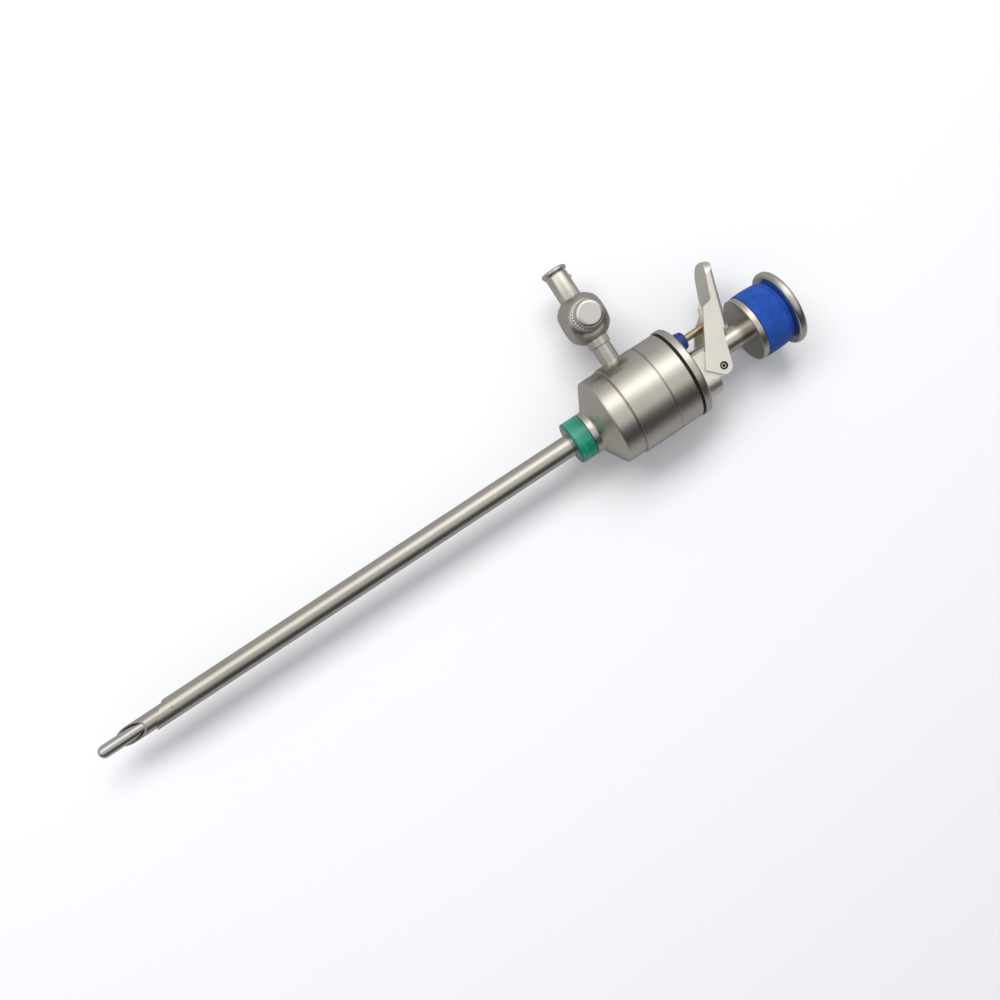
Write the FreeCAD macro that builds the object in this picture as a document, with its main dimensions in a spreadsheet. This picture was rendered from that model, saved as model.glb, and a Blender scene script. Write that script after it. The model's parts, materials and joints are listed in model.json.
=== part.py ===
import FreeCAD, Part
import math
import os
import re

import Sketcher

# A reusable 5.5 mm laparoscopic trocar, in millimetres.
# +X runs along the instrument from the tip to the obturator's head, +Y points at the gas tap
# and the lever, and +Z points up along the tap's key. The origin is on the axis, at the front
# face of the coloured ring, where the bare shaft begins. Sizes along the instrument count from
# the housing's nose, behind that ring.

os.makedirs("parts", exist_ok=True)
doc = FreeCAD.newDocument("Trocar")
sheet = doc.addObject("Spreadsheet::Sheet", "Sizes")

SIZES = [
    # Cannula
    ("CannulaRadius", 3.35, "outside of the cannula"),
    ("CannulaBore", 2.80, "inside of the cannula, a running fit on the obturator"),
    ("CannulaReach", 150.0, "nose face to the long point of the oblique end"),
    ("CannulaEndLean", 40.0, "degrees between the oblique end and a square cut"),
    ("VentRadius", 0.4, "gas vent through the wall near the end"),
    ("VentSetback", 7.6, "vent behind the long point"),
    ("CannulaRoot", 5.0, "tube inside the nose, up to its flange"),
    ("CannulaRootRadius", 3.6, "thicker root of the tube, inside the ring and the nose"),
    ("CannulaFlangeRadius", 5.0, "flange that stops the tube in the nose"),
    ("CannulaFlangeLength", 1.2, "thickness of that flange"),
    # Size ring
    ("SizeRingRadius", 6.65, "outside of the coloured ring"),
    ("SizeRingLength", 5.6, "length of the coloured ring"),
    ("SizeRingRound", 0.5, "rounded edges of the ring"),
    # Housing
    ("NoseRadius", 6.6, "short nose behind the ring"),
    ("NoseLength", 1.9, "length of the nose"),
    ("ShoulderLength", 4.3, "steep cone from the nose to the front band"),
    ("FrontBandRadius", 13.85, "first band of the housing"),
    ("FrontBandLength", 5.5, "length of the first band"),
    ("MiddleBandRadius", 14.25, "second band, which carries the gas pipe"),
    ("MiddleBandLength", 12.4, "length of the second band"),
    ("RearBandRadius", 14.15, "third band"),
    ("RearBandLength", 7.9, "length of the third band"),
    ("BandGrooveDepth", 0.35, "turned line between two bands"),
    ("BandGrooveWidth", 0.6, "width of a turned line"),
    ("RimRound", 0.5, "rounded rim where the shoulder meets the first band"),
    ("ChamberRadius", 12.2, "inside of the flap chamber"),
    ("ChamberThroat", 5.6, "front end of the chamber's cone"),
    ("ChamberConeLength", 3.8, "length of the chamber's cone"),
    ("SeatBoreRadius", 12.9, "bore that takes the seat plate and the cap's spigot"),
    ("LedgePlace", 24.6, "ledge that the seat plate stands on"),
    # Housing seal and cap
    ("SealRingWidth", 0.75, "black seal ring squeezed between housing and cap"),
    ("SealRingRadius", 13.95, "outside of the squeezed seal ring"),
    ("CapRadius", 14.45, "cap plate"),
    ("CapThickness", 2.5, "thickness of the cap plate"),
    ("CapRound", 0.9, "rounded rim of the cap plate"),
    ("SpigotRadius", 12.85, "cap's spigot, which screws into the housing"),
    ("SpigotBore", 11.4, "inside of the spigot"),
    # Neck
    ("NeckRadius", 3.55, "tube from the cap to the seal cap"),
    ("NeckBore", 2.85, "inside of the neck, a running fit on the obturator"),
    ("NeckRoot", 1.25, "neck below the cap plate"),
    ("NeckLength", 21.75, "cap plate to neck flange"),
    ("NeckFlangeRadius", 10.15, "flange that the seal cap stands on"),
    ("NeckFlangeThickness", 2.0, "thickness of the neck flange"),
    ("NeckFlangeRound", 0.35, "rounded rim of the neck flange"),
    ("NeckEnd", 4.5, "neck inside the seal cap"),
    ("NeckBeadRadius", 4.3, "bead that holds the seal cap on the neck"),
    ("NeckBeadLength", 1.2, "length of the bead"),
    # Seal cap
    ("SealRadius", 10.3, "foot of the silicone seal cap"),
    ("SealBelly", 0.2, "how far the side of the seal cap bulges"),
    ("SealTopRadius", 10.05, "top of the seal cap's side"),
    ("SealLength", 9.9, "length of the seal cap"),
    ("SealBandRadius", 9.25, "smaller band under the obturator's head"),
    ("SealBandLength", 1.5, "length of that band"),
    ("SealLipThickness", 2.0, "lip that grips the instrument"),
    ("InstrumentPlay", 0.02, "lip to obturator, a rubbing fit"),
    # Obturator
    ("ObturatorRadius", 2.75, "outside of the obturator's tube"),
    ("StyletBore", 2.0, "front bore of the obturator's tube"),
    ("SpringBore", 2.35, "rear bore of the obturator's tube, which holds the spring"),
    ("SpringBoreStart", 40.0, "shoulder between the two bores"),
    ("BevelHeel", 151.3, "nose face to the heel of the bevel"),
    ("BevelLength", 11.6, "heel of the bevel to its point"),
    ("TipBore", 2.4, "bore at the bevel, where the wall is thin"),
    ("TipBoreLength", 3.0, "that bore behind the heel of the bevel"),
    ("HeadRadius", 12.05, "obturator's round head"),
    ("HeadThickness", 2.7, "thickness of the head"),
    ("HeadRound", 1.1, "rounded rim of the head"),
    ("HeadPlugLength", 5.6, "plug that closes the obturator's tube"),
    # Blunt stylet
    ("StyletRadius", 1.95, "blunt safety stylet"),
    ("StyletReach", 167.6, "nose face to the round end of the stylet"),
    ("StyletTailRadius", 1.2, "thin tail of the stylet"),
    ("StyletTailLength", 6.0, "length of the tail"),
    ("StyletCollarRadius", 2.3, "collar that stops the stylet and carries the spring"),
    ("StyletCollarLength", 3.5, "length of the collar"),
    ("StyletSpringCoil", 1.85, "coil radius of the stylet's spring, to the wire's middle"),
    ("StyletSpringWire", 0.22, "wire radius of the stylet's spring"),
    ("StyletSpringTurns", 12.0, "turns of the stylet's spring"),
    # Lever
    ("PinAlong", 44.4, "lever pin, along the instrument"),
    ("PinAside", 5.1, "lever pin, to the side away from the tap"),
    ("LeverLean", 18.0, "degrees that the lever leans back towards the head"),
    ("LeverHalfWidth", 5.8, "half the width of the lever"),
    ("CheekThickness", 0.85, "thickness of each side plate"),
    ("LeverWebPlace", 4.25, "pin to the outside of the web"),
    ("LeverWebStart", 10.9, "pin to the end of the web above the neck"),
    ("LeverLength", 31.6, "pin to the end of the paddle"),
    ("LeverBend", 1.4, "rounded outside edges of the web and the paddle"),
    ("CheekRoot", 0.55, "hollow curve between each side plate and the web"),
    ("LeverEndRound", 4.6, "rounded corners of the paddle"),
    ("LobeRadius", 2.6, "round end of each side plate about the pin"),
    ("SideReach", 5.6, "front corner of each side plate, ahead of the pin"),
    ("SideCornerDrop", 0.1, "that corner, below the pin"),
    ("SideTop", 18.3, "top corner of each side plate, above the pin"),
    ("SideTopReach", 1.5, "that corner, ahead of the pin"),
    ("SideTopSlope", 0.9, "rise of the side plate's top edge"),
    ("SideTopEnd", 0.4, "end of that edge, behind the pin"),
    ("FarSideTop", 12.8, "front of the lower side plate's slanted top, above the pin"),
    ("FarSideReach", 2.7, "that corner, ahead of the pin"),
    ("FarSideEnd", 17.0, "end of the slanted top, above the pin"),
    ("FarSideDepth", 0.35, "that end, behind the pin"),
    ("PaddleStart", 21.4, "where the side plate has stepped in to the paddle"),
    ("PaddleDepth", 1.35, "front of the paddle, behind the pin"),
    ("StepRound", 2.0, "hollow curve between side plate and paddle"),
    ("PaddleEndDepth", 2.1, "front of the paddle at its end"),
    # Lever pin and bracket
    ("PinRadius", 1.2, "lever pin"),
    ("PinPlay", 0.05, "running clearance of the lever on its pin"),
    ("PinTipRadius", 0.8, "turned-down end of the pin"),
    ("PinTipLength", 0.35, "length of that end"),
    ("PinRecess", 0.25, "pin end below the lever's face"),
    ("PinCentreRadius", 0.3, "centre drilling in the pin's end"),
    ("BracketHalfWidth", 4.85, "half the width of the hinge bracket"),
    ("BracketTop", 1.4, "bracket's edge beside the neck"),
    ("BracketFoot", 11.4, "bracket's round foot"),
    ("BracketLength", 6.55, "thick part of the bracket, from the cap plate"),
    ("KnuckleRadius", 2.75, "bracket about the lever pin"),
    # Push rod
    ("RodAside", 7.6, "push rod, beside the axis on the tap's side"),
    ("RodRadius", 1.15, "push rod"),
    ("RodEndPlace", 24.1, "round front end of the rod"),
    ("RodGap", 0.1, "round rear end of the rod to the lever's web"),
    ("RodPlay", 0.03, "sliding clearance of the rod in its guides"),
    ("BushingRadius", 3.05, "silicone bushing on the cap plate"),
    ("BushingHeight", 5.55, "height of the bushing"),
    ("BushingRound", 1.5, "rounded top of the bushing"),
    ("BushingStem", 2.0, "bushing's stem through the cap plate"),
    ("ClipRadius", 1.7, "clip that stops the rod under the cap plate"),
    ("ClipThickness", 0.8, "thickness of the clip"),
    ("ClipGap", 0.1, "clip to the cap plate at rest"),
    ("RodSpringCoil", 1.5, "coil radius of the rod's spring"),
    ("RodSpringWire", 0.18, "wire radius of the rod's spring"),
    ("RodSpringTurns", 3.0, "turns of the rod's spring"),
    # Valve seat
    ("SeatPlateThickness", 2.0, "plate that carries the seal and the flap"),
    ("SeatHole", 5.6, "hole for the seat seal"),
    ("SeatSealBore", 3.1, "passage through the seat seal"),
    ("SeatSealLift", 0.8, "seat seal ahead of the plate, where the flap closes"),
    # Flap
    ("HingeAlong", 23.0, "flap hinge, along the instrument"),
    ("HingeAside", 10.75, "flap hinge, beside the axis"),
    ("HingePinRadius", 0.6, "pin of the flap hinge"),
    ("HingePlay", 0.04, "running clearance of the flap on its pin"),
    ("HingePinReach", 2.6, "half the length of that pin"),
    ("LugRadius", 1.05, "round end of each hinge lug"),
    ("LugInside", 1.4, "inside face of each lug, from the middle"),
    ("LugOutside", 2.3, "outside face of each lug, from the middle"),
    ("FlapRadius", 5.5, "round part of the flap"),
    ("FlapThickness", 1.2, "thickness of the flap"),
    ("FlapLift", 0.8, "hinge axis to the flap's sealing face"),
    ("FlapOpen", 64.5, "degrees that the obturator holds the flap open"),
    ("FlapHalfArm", 1.3, "half the width of the flap's arm"),
    ("FlapSlot", 0.55, "half the width of the slot for the spring"),
    ("FlapSlotLength", 2.4, "length of that slot from the hinge"),
    ("FlapSpringCoil", 0.82, "coil radius of the flap's spring"),
    ("FlapSpringWire", 0.11, "wire radius of the flap's spring"),
    ("FlapSpringTurns", 3.0, "turns of the flap's spring"),
    ("FlapSpringPitch", 0.25, "rise of each turn"),
    ("FlapSpringFixedLeg", 2.0, "leg of that spring on the seat plate"),
    ("FlapSpringFreeLeg", 3.4, "leg of that spring behind the flap"),
    ("SpringLegGap", 0.02, "leg to the plate or the flap that it bears on"),
    # Gas pipe and tap
    ("TapAlong", 18.0, "gas pipe, along the instrument"),
    ("TapAside", 29.07, "middle of the tap, from the axis"),
    ("PipeRadius", 2.95, "gas pipe"),
    ("PipeBore", 1.5, "inside of the gas pipe"),
    ("PipeEnd", 12.25, "inner end of the pipe, in the housing's wall"),
    ("PipeDepth", 1.5, "pipe inside the tap's body"),
    ("PipeCollarRadius", 3.4, "collar between pipe and tap"),
    ("PipeCollarStart", 19.75, "face of the collar towards the housing"),
    ("BallRadius", 7.85, "round body of the tap"),
    ("BallFlat", 6.2, "flats of the tap's body, from its middle"),
    ("SocketDepth", 1.1, "how deep the collar and the port sit in the body"),
    ("GasBore", 1.25, "gas way through the body and the key"),
    ("KeyTopRadius", 3.0, "wide end of the tapered key"),
    ("KeyFootRadius", 2.5, "narrow end of the tapered key"),
    ("KeyPlay", 0.03, "grease film between key and body"),
    ("KeyStubRadius", 1.5, "round ends of the key"),
    ("KeyStubTop", 9.0, "upper end of the key, inside the knob"),
    ("KeyStubFoot", 9.1, "lower end of the key"),
    ("KnobGap", 0.1, "knob above the body's flat"),
    ("KnobTop", 10.56, "top of the knob"),
    ("KnobRadius", 4.1, "round knob"),
    ("KnobRound", 1.4, "rounded edge of the knob"),
    ("KnobSkirtRadius", 4.6, "skirt under the knob"),
    ("KnobSkirtHeight", 0.7, "height of the skirt"),
    ("WasherRadius", 3.4, "spring washer under the body"),
    ("WasherThickness", 0.4, "thickness of the washer"),
    ("WasherGap", 0.05, "washer below the body's flat"),
    ("NutCornerRadius", 3.4, "corner radius of the hexagon nut"),
    ("NutHeight", 2.2, "height of the nut"),
    # Luer port
    ("PortRadius", 3.4, "outside of the Luer port"),
    ("PortEnd", 46.1, "mouth of the port, from the axis"),
    ("PortMouth", 2.14, "bore at the mouth of the port"),
    ("PortTaper", 1.718, "degrees of the 6 % taper, to its axis"),
    ("PortDepth", 8.5, "depth of the tapered bore"),
    ("PortLugRadius", 4.1, "outside of the two locking lugs"),
    ("PortLugHalfWidth", 2.4, "half the width of a lug"),
    ("PortLugLength", 1.5, "length of a lug"),
    # Cutting tools
    ("Spare", 30.0, "how far a cutting outline reaches past the piece"),
]

for row, (alias, number, note) in enumerate(SIZES, start=1):
    sheet.set(f"A{row}", note)
    sheet.set(f"B{row}", str(number))
    sheet.setAlias(f"B{row}", alias)
doc.recompute()

NAMES = {alias for alias, number, note in SIZES}

# The housing's nose, from the origin
NOSE_FACE = "SizeRingLength"

# Places along the axis from the nose, worked out from the sizes
SHOULDER_END = "(NoseLength + ShoulderLength)"
FRONT_END = f"({SHOULDER_END} + FrontBandLength)"
MIDDLE_END = f"({FRONT_END} + MiddleBandLength)"
HOUSING_END = f"({MIDDLE_END} + RearBandLength)"
CAP_FACE = f"({HOUSING_END} + SealRingWidth)"
CAP_BACK = f"({CAP_FACE} + CapThickness)"
SEAT_BACK = "(LedgePlace + SeatPlateThickness)"
SEAT_FRONT = "(LedgePlace - SeatSealLift)"
FLANGE_FACE = f"({CAP_BACK} + NeckLength)"
FLANGE_BACK = f"({FLANGE_FACE} + NeckFlangeThickness)"
SEAL_BACK = f"({FLANGE_BACK} + SealLength)"
HEAD_BACK = f"({SEAL_BACK} + HeadThickness)"
COLLAR_BACK = "(SpringBoreStart + StyletCollarLength)"
PLUG_FRONT = f"({HEAD_BACK} - HeadPlugLength)"
CLIP_BACK = f"({CAP_FACE} - ClipGap)"
CLIP_FRONT = f"({CLIP_BACK} - ClipThickness)"

# Middle of the tap's ball to where the collar and the port enter it
BALL_SOCKET = "sqrt(BallRadius ^ 2 - PipeCollarRadius ^ 2)"

# The rod's round rear end touches the leaning web, so its middle lies this far along the axis
ROD_REAR = (
    "(PinAlong + (RodAside + PinAside) * tan(LeverLean)"
    " + (PaddleDepth - RodRadius - RodGap) / cos(LeverLean))"
)


def bound(expression):
    """The expression with each size's name pointing at its cell in the sheet."""
    return re.sub(r"[A-Za-z]+", lambda word: _cell(word.group(0)), expression)


def _cell(word):
    return f"Sizes.{word}" if word in NAMES else word


def value(expression):
    """What an expression of the sheet's sizes comes to, in millimetres or degrees."""
    return float(sheet.evalExpression(bound(expression)))


def bind(thing, **places):
    """Ties properties of an object to expressions; Base_x stands for Placement.Base.x."""
    for name, expression in places.items():
        path = name.replace("Base_", "Placement.Base.")
        thing.setExpression(path, bound(expression))


def new_body(label, x="0", y="0", z="0", turn=None):
    """A body at x from the nose, y and z, turned about Z by the expression in turn."""
    body = doc.addObject("PartDesign::Body", label)
    body.Label = label
    if turn:
        body.Placement = FreeCAD.Placement(
            FreeCAD.Vector(0, 0, 0), FreeCAD.Rotation(FreeCAD.Vector(0, 0, 1), 1)
        )
        body.setExpression("Placement.Rotation.Angle", bound(turn))
    bind(body, Base_x=f"{NOSE_FACE} + {x}", Base_y=y, Base_z=z)
    return body


def new_sketch(body, name, role, lift=None):
    """A sketch on one of the body's own planes, raised off it by the expression in lift."""
    plane = next(item for item in body.Origin.OriginFeatures if item.Role == role)
    sketch = body.newObject("Sketcher::SketchObject", name)
    sketch.AttachmentSupport = (plane, [""])
    sketch.MapMode = "FlatFace"
    if lift:
        sketch.setExpression("AttachmentOffset.Base.z", bound(lift))
    return sketch


def pin_point(sketch, line, end, x, y):
    """Holds one end of a line at x, y from the sketch's origin."""
    for kind, expression in (("DistanceX", x), ("DistanceY", y)):
        rule = Sketcher.Constraint(kind, -1, 1, line, end, value(expression))
        index = sketch.addConstraint(rule)
        sketch.setExpression(f"Constraints[{index}]", bound(expression))


def draw_outline(sketch, corners):
    """A closed outline through the corners, each (x, y) or (x, y, radius of the arc that
    follows). A positive radius bends the arc to the left of its chord's middle, a negative
    one to the right."""
    points = [FreeCAD.Vector(value(corner[0]), value(corner[1]), 0) for corner in corners]
    lines = []
    for index, corner in enumerate(corners):
        start = points[index]
        stop = points[(index + 1) % len(points)]
        if len(corner) == 2:
            lines.append(sketch.addGeometry(Part.LineSegment(start, stop), False))
            continue
        radius = value(corner[2])
        chord = stop - start
        side = FreeCAD.Vector(-chord.y, chord.x, 0).normalize()
        drop = math.sqrt(max(radius**2 - chord.Length**2 / 4, 0))
        left = radius > 0
        centre = (start + stop) / 2 - side * (drop if left else -drop)
        middle = centre + side * (abs(radius) if left else -abs(radius))
        lines.append(sketch.addGeometry(Part.Arc(start, middle, stop), False))
    for index, line in enumerate(lines):
        follower = lines[(index + 1) % len(lines)]
        is_arc = len(corners[index]) == 3
        # An arc that bends left is stored from its far end, because arcs run anticlockwise
        turned = is_arc and value(corners[index][2]) > 0
        next_corner = corners[(index + 1) % len(corners)]
        next_turned = len(next_corner) == 3 and value(next_corner[2]) > 0
        end = 1 if turned else 2
        start = 2 if next_turned else 1
        sketch.addConstraint(Sketcher.Constraint("Coincident", line, end, follower, start))
        pin_point(sketch, line, 2 if turned else 1, *corners[index][:2])
        if is_arc:
            radius = value(corners[index][2])
            rule = Sketcher.Constraint("Radius", line, abs(radius))
            place = sketch.addConstraint(rule)
            sketch.setExpression(f"Constraints[{place}]", bound(f"abs({corners[index][2]})"))


def draw_circle(sketch, x, y, radius):
    """A circle about x, y."""
    centre = FreeCAD.Vector(value(x), value(y), 0)
    circle = Part.Circle(centre, FreeCAD.Vector(0, 0, 1), value(radius))
    line = sketch.addGeometry(circle, False)
    pin_point(sketch, line, 3, x, y)
    index = sketch.addConstraint(Sketcher.Constraint("Radius", line, value(radius)))
    sketch.setExpression(f"Constraints[{index}]", bound(radius))


def turned(body, name, corners, kind="Revolution", plane="XY_Plane", axis="H_Axis"):
    """A piece turned about one of the sketch's axes, or with Groove a turned cut."""
    sketch = new_sketch(body, f"{name}_profile", plane)
    draw_outline(sketch, corners)
    feature = body.newObject(f"PartDesign::{kind}", name)
    feature.Profile = sketch
    feature.ReferenceAxis = (sketch, [axis])
    feature.Angle = 360
    sketch.Visibility = False
    return feature


def padded(body, name, sketch, length):
    """A pad of the whole length, half of it on each side of its sketch."""
    pad = body.newObject("PartDesign::Pad", name)
    pad.Profile = sketch
    pad.SideType = "Symmetric"
    pad.setExpression("Length", bound(length))
    sketch.Visibility = False
    return pad


def pocketed(body, name, sketch, length=None):
    """A cut of the whole length to both sides of its sketch, or right through."""
    pocket = body.newObject("PartDesign::Pocket", name)
    pocket.Profile = sketch
    pocket.SideType = "Symmetric"
    if length:
        pocket.setExpression("Length", bound(length))
    else:
        pocket.Type = "ThroughAll"
    sketch.Visibility = False
    return pocket


def rounded(body, name, base, edges, radius):
    """A fillet on the named edges."""
    fillet = body.newObject("PartDesign::Fillet", name)
    fillet.Base = (base, edges)
    fillet.setExpression("Radius", bound(radius))
    return fillet


def rings_at(feature, x, radius):
    """Names of the circular edges about the X axis at x with this radius."""
    doc.recompute()
    found = []
    for index, edge in enumerate(feature.Shape.Edges, start=1):
        circle = edge.Curve
        if not isinstance(circle, Part.Circle):
            continue
        if abs(circle.Center.x - value(x)) < 1e-3 and abs(circle.Radius - value(radius)) < 1e-3:
            found.append(f"Edge{index}")
    return found


def straight_edges(feature, test):
    """Names of the straight edges whose two ends both pass the test."""
    doc.recompute()
    found = []
    for index, edge in enumerate(feature.Shape.Edges, start=1):
        if not isinstance(edge.Curve, Part.Line):
            continue
        if all(test(vertex.Point) for vertex in edge.Vertexes):
            found.append(f"Edge{index}")
    return found


def near(number, expression):
    return abs(number - value(expression)) < 1e-3


WIRE_SIDES = 6


def coil(body, name, start, end, coil_radius, wire_radius, turns):
    """A wire spring along X from start to end, both measured to the wire's middle. The wire has
    few sides, because it is thin and out of sight."""
    sketch = new_sketch(body, f"{name}_wire", "XY_Plane")
    draw_outline(sketch, [
        (
            f"{start} + {wire_radius} * cos({corner} * 360 / {WIRE_SIDES})",
            f"{coil_radius} + {wire_radius} * sin({corner} * 360 / {WIRE_SIDES})",
        )
        for corner in range(WIRE_SIDES)
    ])
    helix = body.newObject("PartDesign::AdditiveHelix", name)
    helix.Profile = sketch
    helix.ReferenceAxis = (sketch, ["H_Axis"])
    helix.Mode = "height-turns-angle"
    helix.setExpression("Height", bound(f"({end}) - ({start})"))
    helix.setExpression("Turns", bound(turns))
    sketch.Visibility = False
    return helix


def make_cannula_tube():
    """Thin tube with a flange inside the nose, an oblique end and a vent near it."""
    body = new_body("cannula_tube")
    turned(body, "cannula_wall", [
        ("-CannulaReach", "CannulaBore"),
        ("CannulaRoot + CannulaFlangeLength", "CannulaBore"),
        ("CannulaRoot + CannulaFlangeLength", "CannulaFlangeRadius"),
        ("CannulaRoot", "CannulaFlangeRadius"),
        ("CannulaRoot", "CannulaRootRadius"),
        ("-SizeRingLength", "CannulaRootRadius"),
        ("-SizeRingLength", "CannulaRadius"),
        ("-CannulaReach", "CannulaRadius"),
    ])
    wedge = new_sketch(body, "oblique_outline", "XY_Plane")
    draw_outline(wedge, [
        ("-CannulaReach", "-CannulaRadius"),
        ("-CannulaReach + (CannulaRadius + Spare) * tan(CannulaEndLean)", "Spare"),
        ("-CannulaReach - Spare", "Spare"),
        ("-CannulaReach - Spare", "-CannulaRadius"),
    ])
    pocketed(body, "oblique_end", wedge)
    hole = new_sketch(body, "vent_outline", "XY_Plane")
    draw_circle(hole, "-CannulaReach + VentSetback", "0", "VentRadius")
    pocketed(body, "vent", hole)
    return body


def make_size_ring():
    """Coloured polymer ring that shows the cannula's size, pressed on at the nose."""
    body = new_body("size_ring")
    ring = turned(body, "ring_band", [
        ("-SizeRingLength", "CannulaRootRadius"),
        ("0", "CannulaRootRadius"),
        ("0", "SizeRingRadius"),
        ("-SizeRingLength", "SizeRingRadius"),
    ])
    edges = rings_at(ring, "0", "SizeRingRadius") + rings_at(ring, "-SizeRingLength", "SizeRingRadius")
    rounded(body, "ring_edges", ring, edges, "SizeRingRound")
    return body


def band_groove(place, radius):
    """Corners of a turned V line that starts at place on a band of this radius."""
    return [
        (place, radius),
        (f"{place} - BandGrooveWidth / 2", f"{radius} - BandGrooveDepth"),
        (f"{place} - BandGrooveWidth", radius),
    ]


def make_valve_housing():
    """Turned housing: nose, steep shoulder and three bands about the flap chamber."""
    body = new_body("valve_housing")
    inside = [
        ("0", "CannulaRootRadius"),
        ("CannulaRoot", "CannulaRootRadius"),
        ("CannulaRoot", "CannulaFlangeRadius"),
        (SHOULDER_END, "CannulaFlangeRadius"),
        (SHOULDER_END, "ChamberThroat"),
        (f"{SHOULDER_END} + ChamberConeLength", "ChamberRadius"),
        ("LedgePlace", "ChamberRadius"),
        ("LedgePlace", "SeatBoreRadius"),
        (HOUSING_END, "SeatBoreRadius"),
    ]
    outside = [
        (HOUSING_END, "RearBandRadius"),
        *band_groove(f"({MIDDLE_END} + BandGrooveWidth)", "RearBandRadius"),
        (MIDDLE_END, "MiddleBandRadius"),
        (f"{FRONT_END} + BandGrooveWidth", "MiddleBandRadius"),
        (f"{FRONT_END} + BandGrooveWidth / 2", "FrontBandRadius - BandGrooveDepth"),
        (FRONT_END, "FrontBandRadius"),
        (SHOULDER_END, "FrontBandRadius"),
        ("NoseLength", "NoseRadius"),
        ("0", "NoseRadius"),
    ]
    shell = turned(body, "housing_shell", inside + outside)
    rim = rounded(body, "front_rim", shell, rings_at(shell, SHOULDER_END, "FrontBandRadius"), "RimRound")
    port = new_sketch(body, "pipe_hole_outline", "XZ_Plane", lift="-ChamberRadius / 2")
    draw_circle(port, "TapAlong", "0", "PipeRadius")
    hole = body.newObject("PartDesign::Pocket", "pipe_hole")
    hole.Profile = port
    hole.Type = "ThroughAll"
    hole.Reversed = pocket_needs_turning(body, hole, rim)
    port.Visibility = False
    return body


def pocket_needs_turning(body, pocket, base):
    """Whether a one-sided pocket cuts nothing as it stands, so that it has to be reversed."""
    doc.recompute()
    return abs(body.Shape.Volume - base.Shape.Volume) < 1e-6


def make_housing_seal_ring():
    """Black rubber ring squeezed between the housing and the cap plate."""
    body = new_body("housing_o_ring")
    turned(body, "seal_ring_section", [
        (HOUSING_END, "SpigotRadius"),
        (f"{HOUSING_END} + SealRingWidth", "SpigotRadius"),
        (f"{HOUSING_END} + SealRingWidth", "SealRingRadius - SealRingWidth / 2", "-SealRingWidth / 2"),
        (f"{HOUSING_END} + SealRingWidth / 2", "SealRingRadius", "-SealRingWidth / 2"),
        (HOUSING_END, "SealRingRadius - SealRingWidth / 2"),
    ])
    return body


def make_cap_plate():
    """Cap that closes the housing: a round plate with a screwed spigot."""
    body = new_body("cap_plate")
    plate = turned(body, "cap_disc", [
        (CAP_FACE, "NeckRadius"),
        (CAP_BACK, "NeckRadius"),
        (CAP_BACK, "CapRadius"),
        (CAP_FACE, "CapRadius"),
        (CAP_FACE, "SpigotRadius"),
        (SEAT_BACK, "SpigotRadius"),
        (SEAT_BACK, "SpigotBore"),
        (CAP_FACE, "SpigotBore"),
    ])
    rounded(body, "cap_rim", plate, rings_at(plate, CAP_BACK, "CapRadius"), "CapRound")
    hole = new_sketch(body, "bushing_hole_outline", "YZ_Plane")
    draw_circle(hole, "RodAside", "0", "BushingStem")
    pocketed(body, "bushing_hole", hole)
    return body


def make_neck_tube():
    """Tube from the cap plate through the neck flange, with a bead inside the seal cap."""
    body = new_body("neck_tube")
    turned(body, "neck_wall", [
        (f"{CAP_FACE} - NeckRoot", "NeckBore"),
        (f"{FLANGE_BACK} + NeckEnd", "NeckBore"),
        (f"{FLANGE_BACK} + NeckEnd", "NeckBeadRadius"),
        (f"{FLANGE_BACK} + NeckEnd - NeckBeadLength", "NeckBeadRadius"),
        (f"{FLANGE_BACK} + NeckEnd - NeckBeadLength", "NeckRadius"),
        (f"{CAP_FACE} - NeckRoot", "NeckRadius"),
    ])
    return body


def make_neck_flange():
    """Round flange brazed on the neck, under the seal cap."""
    body = new_body("neck_flange")
    disc = turned(body, "flange_disc", [
        (FLANGE_FACE, "NeckRadius"),
        (FLANGE_BACK, "NeckRadius"),
        (FLANGE_BACK, "NeckFlangeRadius"),
        (FLANGE_FACE, "NeckFlangeRadius"),
    ])
    edges = rings_at(disc, FLANGE_FACE, "NeckFlangeRadius")
    edges += rings_at(disc, FLANGE_BACK, "NeckFlangeRadius")
    rounded(body, "flange_rim", disc, edges, "NeckFlangeRound")
    return body


def make_seal_cap():
    """Blue silicone cap on the neck's bead, with the lip that grips the instrument."""
    body = new_body("seal_cap")
    band_start = f"({SEAL_BACK} - SealBandLength)"
    side_length = "(SealLength - SealBandLength)"
    belly_radius = f"({side_length} * {side_length} / 8 / SealBelly)"
    lip = "ObturatorRadius + InstrumentPlay"
    turned(body, "seal_cap_section", [
        (FLANGE_BACK, "NeckRadius"),
        (FLANGE_BACK, "SealRadius", belly_radius),
        (band_start, "SealTopRadius"),
        (band_start, "SealBandRadius"),
        (SEAL_BACK, "SealBandRadius"),
        (SEAL_BACK, lip),
        (f"{SEAL_BACK} - SealLipThickness", lip),
        (f"{SEAL_BACK} - SealLipThickness", "NeckBeadRadius"),
        (f"{FLANGE_BACK} + NeckEnd - NeckBeadLength", "NeckBeadRadius"),
        (f"{FLANGE_BACK} + NeckEnd - NeckBeadLength", "NeckRadius"),
    ])
    return body


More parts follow.
